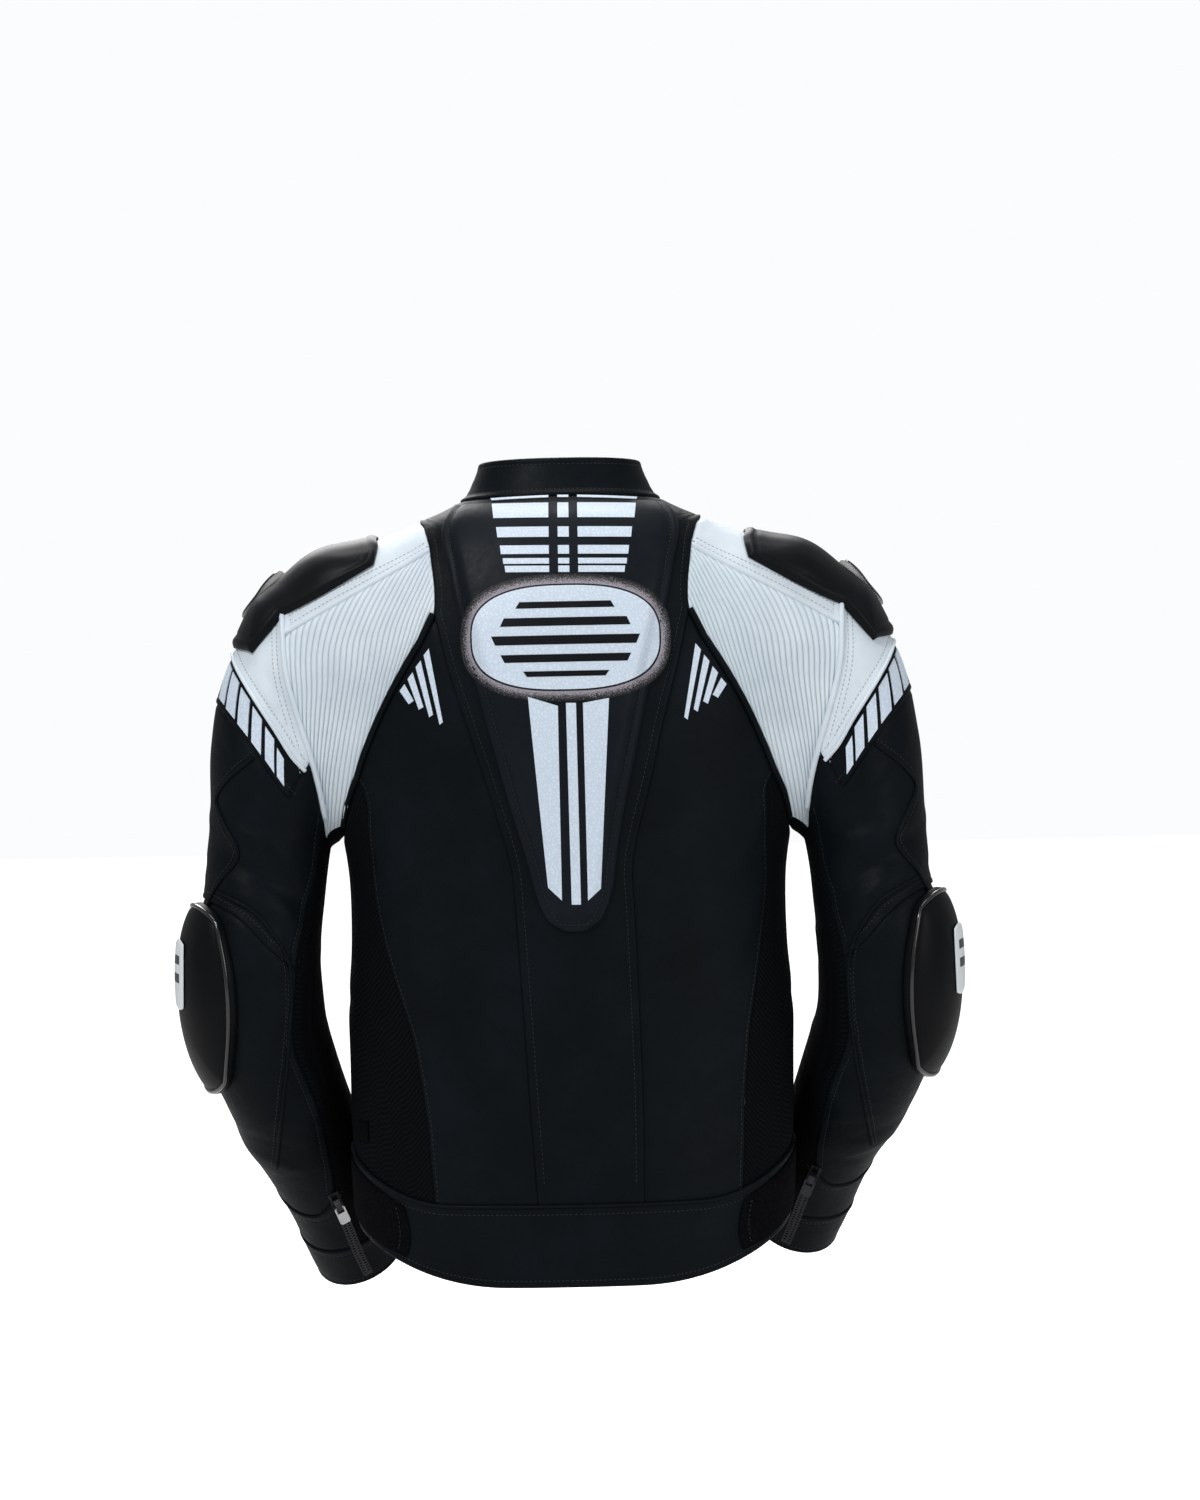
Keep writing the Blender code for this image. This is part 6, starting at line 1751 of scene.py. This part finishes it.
def moulded(name, dark, light, roughness, specular, texture_depth, coat):
    """Moulded polyurethane: near black with a fine spark-eroded texture."""
    material, tree, surface = new_material(name)
    place = add_node(tree, "ShaderNodeTexCoord").outputs["Object"]
    pits = add_node(tree, "ShaderNodeTexNoise", {"Vector": place, "Scale": 900.0, "Detail": 3.0, "Roughness": 0.6})
    cloud = add_node(tree, "ShaderNodeTexNoise", {"Vector": place, "Scale": 30.0, "Detail": 3.0})
    tone = add_node(tree, "ShaderNodeValToRGB", {"Fac": cloud.outputs["Fac"]})
    tone.color_ramp.elements[0].color, tone.color_ramp.elements[1].color = linear(dark), linear(light)
    tree.links.new(tone.outputs["Color"], surface.inputs["Base Color"])
    rough = add_node(tree, "ShaderNodeMapRange", {
        "Value": cloud.outputs["Fac"], "To Min": roughness - 0.05, "To Max": roughness + 0.07,
    })
    tree.links.new(rough.outputs["Result"], surface.inputs["Roughness"])
    surface.inputs["Specular IOR Level"].default_value = specular
    surface.inputs["Coat Weight"].default_value = coat
    surface.inputs["Coat Roughness"].default_value = 0.12
    bump = add_node(tree, "ShaderNodeBump", {"Height": pits.outputs["Fac"], "Distance": texture_depth * MM})
    tree.links.new(bump.outputs["Normal"], surface.inputs["Normal"])
    return material


satin_cup = moulded("satin_polyurethane", "#080b0e", "#0e1115", 0.42, 0.10, 0.12, 0.0)
gloss_cup = moulded("gloss_polyurethane", "#050607", "#090a0c", 0.2, 0.5, 0.015, 0.5)


def dome(a, b, edge, full, power=2.5):
    """Thickness of a moulded cup: its rim at the edge and full in the middle."""
    out = np.maximum(np.abs(a), np.abs(b)) ** power
    return edge + (full - edge) * np.sqrt(1 - out)


def bead(out, place, half_width, lift):
    """A raised or sunk line all round a cup at this share of the way out."""
    return lift * np.exp(-(((out - place) / half_width) ** 2))


middle, level, half_angle, half_run = SHOULDER_CUP
a, b, wide, tall = rounded_grid(60, 72, 0.55)
out = np.maximum(np.abs(a), np.abs(b))
cup_grid = np.stack([middle + half_angle * wide - SHOULDER_CUP_LEAN * tall, level + half_run * tall], -1)
ridges = SHOULDER_CUP_RIDGE * np.cos(math.tau * (b + SHOULDER_CUP_CREST)) * (1 - out**4)
cup_rise = (dome(a, b, SHOULDER_CUP_EDGE, SHOULDER_CUP_FULL) + ridges) * (1.1 + SHOULDER_CUP_OUTER * b)
cup_rise = cup_rise + bead(out, 0.94, 0.018, 0.7) + bead(out, 0.89, 0.014, -0.5) + bead(out, 1.0, 0.012, -1.3)
middle, level, half_angle, half_run = SHOULDER_PLATE
a, b, wide, tall = rounded_grid(32, 36, 0.8)
out = np.maximum(np.abs(a), np.abs(b))
plate_grid = np.stack([middle + half_angle * wide, level + half_run * tall], -1)
plate_rise = dome(a, b, PLATE_EDGE, PLATE_FULL) + bead(out, 0.86, 0.03, -0.35) + bead(out, 1.0, 0.02, -0.5)
for SIDE, NAME in SIDE_NAMES.items():
    laid_on(
        f"shoulder_cup_{NAME}_shell", sleeve, no_relief, cup_grid, CUP_GAP, cup_rise, [satin_cup],
        "moulded_cup", [f"shoulder_cup_{NAME}"], SIDE,
    )
    laid_on(
        f"shoulder_plate_{NAME}_shell", sleeve, no_relief, plate_grid, CUP_GAP + PLATE_RISE, plate_rise, [gloss_cup],
        "gloss_plate", [f"shoulder_plate_{NAME}"], SIDE,
    )

# --- Elbow cups --------------------------------------------------------------------------------------------
# Hard gloss cup over each elbow with a raised rim, and a small white plate with two plain bars near its middle.

ELBOW_CUP_EDGE, ELBOW_CUP_FULL = 3.0, 13.0
CUP_RIM_PLACE, CUP_RIM_RADIUS = 0.93, 1.9
ELBOW_BADGE = (17, -370, 15, 21)
BADGE_THICK, BADGE_RISE = 1.2, 0.4
BADGE_BARS = [(-0.42, 0.62), (0.1, 0.62)]       # places down the plate and half lengths


def badge_enamel():
    """Moulded white badge: gloss, with plain black bars printed across it."""
    material, tree, surface = new_material("white_moulded_badge")
    across = add_node(tree, "ShaderNodeSeparateXYZ", {"Vector": add_node(tree, "ShaderNodeTexCoord").outputs["UV"]})
    bars = None
    for place, half in BADGE_BARS:
        down = add_node(tree, "ShaderNodeMath", {0: across.outputs["Y"], 1: place, 2: 0.13}, operation="COMPARE")
        wide = add_node(tree, "ShaderNodeMath", {0: across.outputs["X"], 1: 0.0, 2: half}, operation="COMPARE")
        both = add_node(tree, "ShaderNodeMath", {0: down.outputs[0], 1: wide.outputs[0]}, operation="MULTIPLY")
        bars = both if bars is None else add_node(
            tree, "ShaderNodeMath", {0: bars.outputs[0], 1: both.outputs[0]}, operation="MAXIMUM"
        )
    color = add_node(
        tree, "ShaderNodeMix", {0: bars.outputs[0], 6: linear("#dfe4e8"), 7: linear("#0d0e11")}, data_type="RGBA"
    )
    tree.links.new(color.outputs[2], surface.inputs["Base Color"])
    surface.inputs["Roughness"].default_value = 0.3
    return material


badge_white = badge_enamel()
# Elbow cup: the same plastic with a soft-touch skin, and only its rim polished
soft_cup = moulded("soft_touch_polyurethane", "#060709", "#0a0c0f", 0.45, 0.09, 0.06, 0.0)
middle, level, half_angle, half_height = ELBOW_CUP
a, b, wide, tall = rounded_grid(64, 64, 0.9)
out = np.maximum(np.abs(a), np.abs(b))
elbow_grid = on_sleeve(middle + half_angle * wide, level - half_height * tall)
elbow_rise = dome(a, b, ELBOW_CUP_EDGE, ELBOW_CUP_FULL)
elbow_rise = elbow_rise + bead(out, 0.9, 0.02, -0.9) + bead(out, 0.955, 0.02, 0.5) + bead(out, 1.0, 0.012, -1.6)
turn = np.linspace(0, 2 * math.pi, 97)
square = CUP_RIM_PLACE / np.maximum(np.abs(np.cos(turn)), np.abs(np.sin(turn)))
rim_a, rim_b = square * np.cos(turn), square * np.sin(turn)
rim_wide, rim_tall = rim_a * np.sqrt(1 - 0.45 * rim_b**2), rim_b * np.sqrt(1 - 0.45 * rim_a**2)
rim_grid = on_sleeve(middle + half_angle * rim_wide, level - half_height * rim_tall)
rim_rise = dome(rim_a, rim_b, ELBOW_CUP_EDGE, ELBOW_CUP_FULL) - 0.2
middle, level, half_angle, half_height = ELBOW_BADGE
badge_a, badge_b, wide, tall = rounded_grid(24, 32, 0.5)
badge_grid = on_sleeve(middle + half_angle * wide, level - half_height * tall)
badge_out = np.maximum(np.abs(badge_a), np.abs(badge_b))
badge_rise = BADGE_THICK + bead(badge_out, 1.0, 0.03, -0.6)
badge_uv = np.stack([badge_a, badge_b], -1) / MM
for SIDE, NAME in SIDE_NAMES.items():
    laid_on(
        f"elbow_cup_{NAME}_shell", sleeve, no_relief, elbow_grid, CUP_GAP, elbow_rise, [soft_cup], "gloss_plate",
        [f"elbow_cup_{NAME}"], SIDE,
    )
    u, v = rim_grid[:, 0], rim_grid[:, 1]
    rim_points = sleeve(u, v) + (CUP_GAP + rim_rise)[:, None] * normal(sleeve, u, v)
    piping(f"elbow_cup_rim_{NAME}", [on_side(rim_points, sleeve, SIDE)], CUP_RIM_RADIUS, gloss_cup, "gloss_plate")
    laid_on(
        f"elbow_badge_{NAME}_face", sleeve, no_relief, badge_grid, CUP_GAP + ELBOW_CUP_FULL + BADGE_RISE,
        badge_rise, [badge_white], "badge", [f"elbow_badge_{NAME}"], SIDE, badge_uv,
    )

# --- Cuff zips ---------------------------------------------------------------------------------------------
# A short zip on the back seam of each sleeve closes the cuff; tape stitched down on both sides of the chain.

CUFF_ZIP_TOP, CUFF_ZIP_END, CUFF_ZIP_HALF = -530.0, -606.0, 6.0
TAPE = 0.8
CUFF_TOOTH = (3.6, 1.2, 1.1)
CUFF_CHAIN_LIFT = LAY_GAP + TAPE + 0.5

angle, height = np.meshgrid(
    CUFF_ZIP_MIDDLE + CUFF_ZIP_HALF * np.linspace(-1, 1, 13), np.linspace(CUFF_ZIP_TOP, CUFF_ZIP_END, 40)
)
tape_grid = on_sleeve(angle, height)
teeth_line = on_sleeve(np.full(60, CUFF_ZIP_MIDDLE), np.linspace(CUFF_ZIP_TOP - 2, CUFF_ZIP_END + 2, 60))
tape_uv = np.stack([SLEEVE_DEGREE * angle, height], -1)
for SIDE, NAME in SIDE_NAMES.items():
    laid_on(
        f"cuff_zip_{NAME}_tape", sleeve, no_relief, tape_grid, LAY_GAP, TAPE, [tape], "stretch_fabric",
        [f"cuff_zip_{NAME}"], SIDE, tape_uv,
    )
    zip_teeth(f"cuff_zip_teeth_{NAME}", sleeve, teeth_line, CUFF_TOOTH, CUFF_CHAIN_LIFT, SIDE)
    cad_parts[f"cuff_zip_{NAME}_slider"].data.materials[0] = black_metal
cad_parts["cuff_zip_left_pull"].data.materials[0] = bright_metal
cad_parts["cuff_zip_right_pull"].data.materials[0] = black_metal

# --- Floor, light and camera -------------------------------------------------------------------------------
# A plain pale floor well below the hem, four large soft lights and the camera behind the jacket at its own height.

FLOOR = -0.80
CAMERA_PLACE, CAMERA_TARGET = Vector((-0.0276, 3.0, -0.200)), Vector((-0.0276, 0.0, -0.200))
CAMERA_ROLL = math.radians(-1.2)
LENS, SENSOR = 90.0, 36.0
# Place, size in metres, watts
LIGHTS = [
    ("key_light", (1.5, 2.3, 2.3), 0.9, 66.0), ("fill_light", (-2.4, 2.4, 0.7), 1.8, 30.0),
    ("front_light", (0.4, -2.6, 1.6), 2.2, 60.0), ("top_light", (0.0, -0.3, 2.6), 1.4, 34.0),
]
LIGHT_TARGET = Vector((0.0, 0.0, -0.3))
SKY_LIGHT, SKY_SEEN = 0.34, 1.0


def pale_floor():
    """Matt painted board, almost white, with the faintest mottling."""
    material, tree, surface = new_material("matt_painted_board")
    place = add_node(tree, "ShaderNodeTexCoord").outputs["Object"]
    mottle = add_node(tree, "ShaderNodeTexNoise", {"Vector": place, "Scale": 6.0, "Detail": 3.0})
    tone = add_node(tree, "ShaderNodeValToRGB", {"Fac": mottle.outputs["Fac"]})
    tone.color_ramp.elements[0].color, tone.color_ramp.elements[1].color = linear("#dededd"), linear("#e4e4e3")
    tree.links.new(tone.outputs["Color"], surface.inputs["Base Color"])
    surface.inputs["Roughness"].default_value = 0.9
    surface.inputs["Emission Color"].default_value = linear("#fbfcfd")
    seen = add_node(tree, "ShaderNodeLightPath").outputs["Is Camera Ray"]
    tree.links.new(seen, surface.inputs["Emission Strength"])
    return material


shape = bmesh.new()
bmesh.ops.create_grid(shape, x_segments=1, y_segments=1, size=20.0, matrix=Matrix.Translation((0, 0, FLOOR)))
object_from("floor", shape, [pale_floor()])

for LIGHT, PLACE, SIZE, POWER in LIGHTS:
    data = bpy.data.lights.new(LIGHT, "AREA")
    data.shape, data.size, data.energy = "DISK", SIZE, POWER
    light = bpy.data.objects.new(LIGHT, data)
    light.location = PLACE
    aim = LIGHT_TARGET - light.location
    light.rotation_euler = aim.to_track_quat("-Z", "Y").to_euler()
    bpy.context.scene.collection.objects.link(light)

world = bpy.data.worlds.new("white_studio")
world.use_nodes = True
sky = world.node_tree.nodes["Background"]
sky.inputs["Color"].default_value = linear("#fbfcfd")
seen = add_node(world.node_tree, "ShaderNodeLightPath").outputs["Is Camera Ray"]
strength = add_node(world.node_tree, "ShaderNodeMapRange", {"Value": seen, "To Min": SKY_LIGHT, "To Max": SKY_SEEN})
world.node_tree.links.new(strength.outputs["Result"], sky.inputs["Strength"])
bpy.context.scene.world = world
bpy.context.scene.view_settings.view_transform = "Standard"

lens = bpy.data.cameras.new("camera")
lens.lens, lens.sensor_width = LENS, SENSOR
camera = bpy.data.objects.new("camera", lens)
turn = (CAMERA_TARGET - CAMERA_PLACE).to_track_quat("-Z", "Y").to_matrix().to_4x4()
camera.matrix_world = Matrix.Translation(CAMERA_PLACE) @ turn @ Matrix.Rotation(CAMERA_ROLL, 4, "Z")
bpy.context.scene.collection.objects.link(camera)
bpy.context.scene.camera = camera
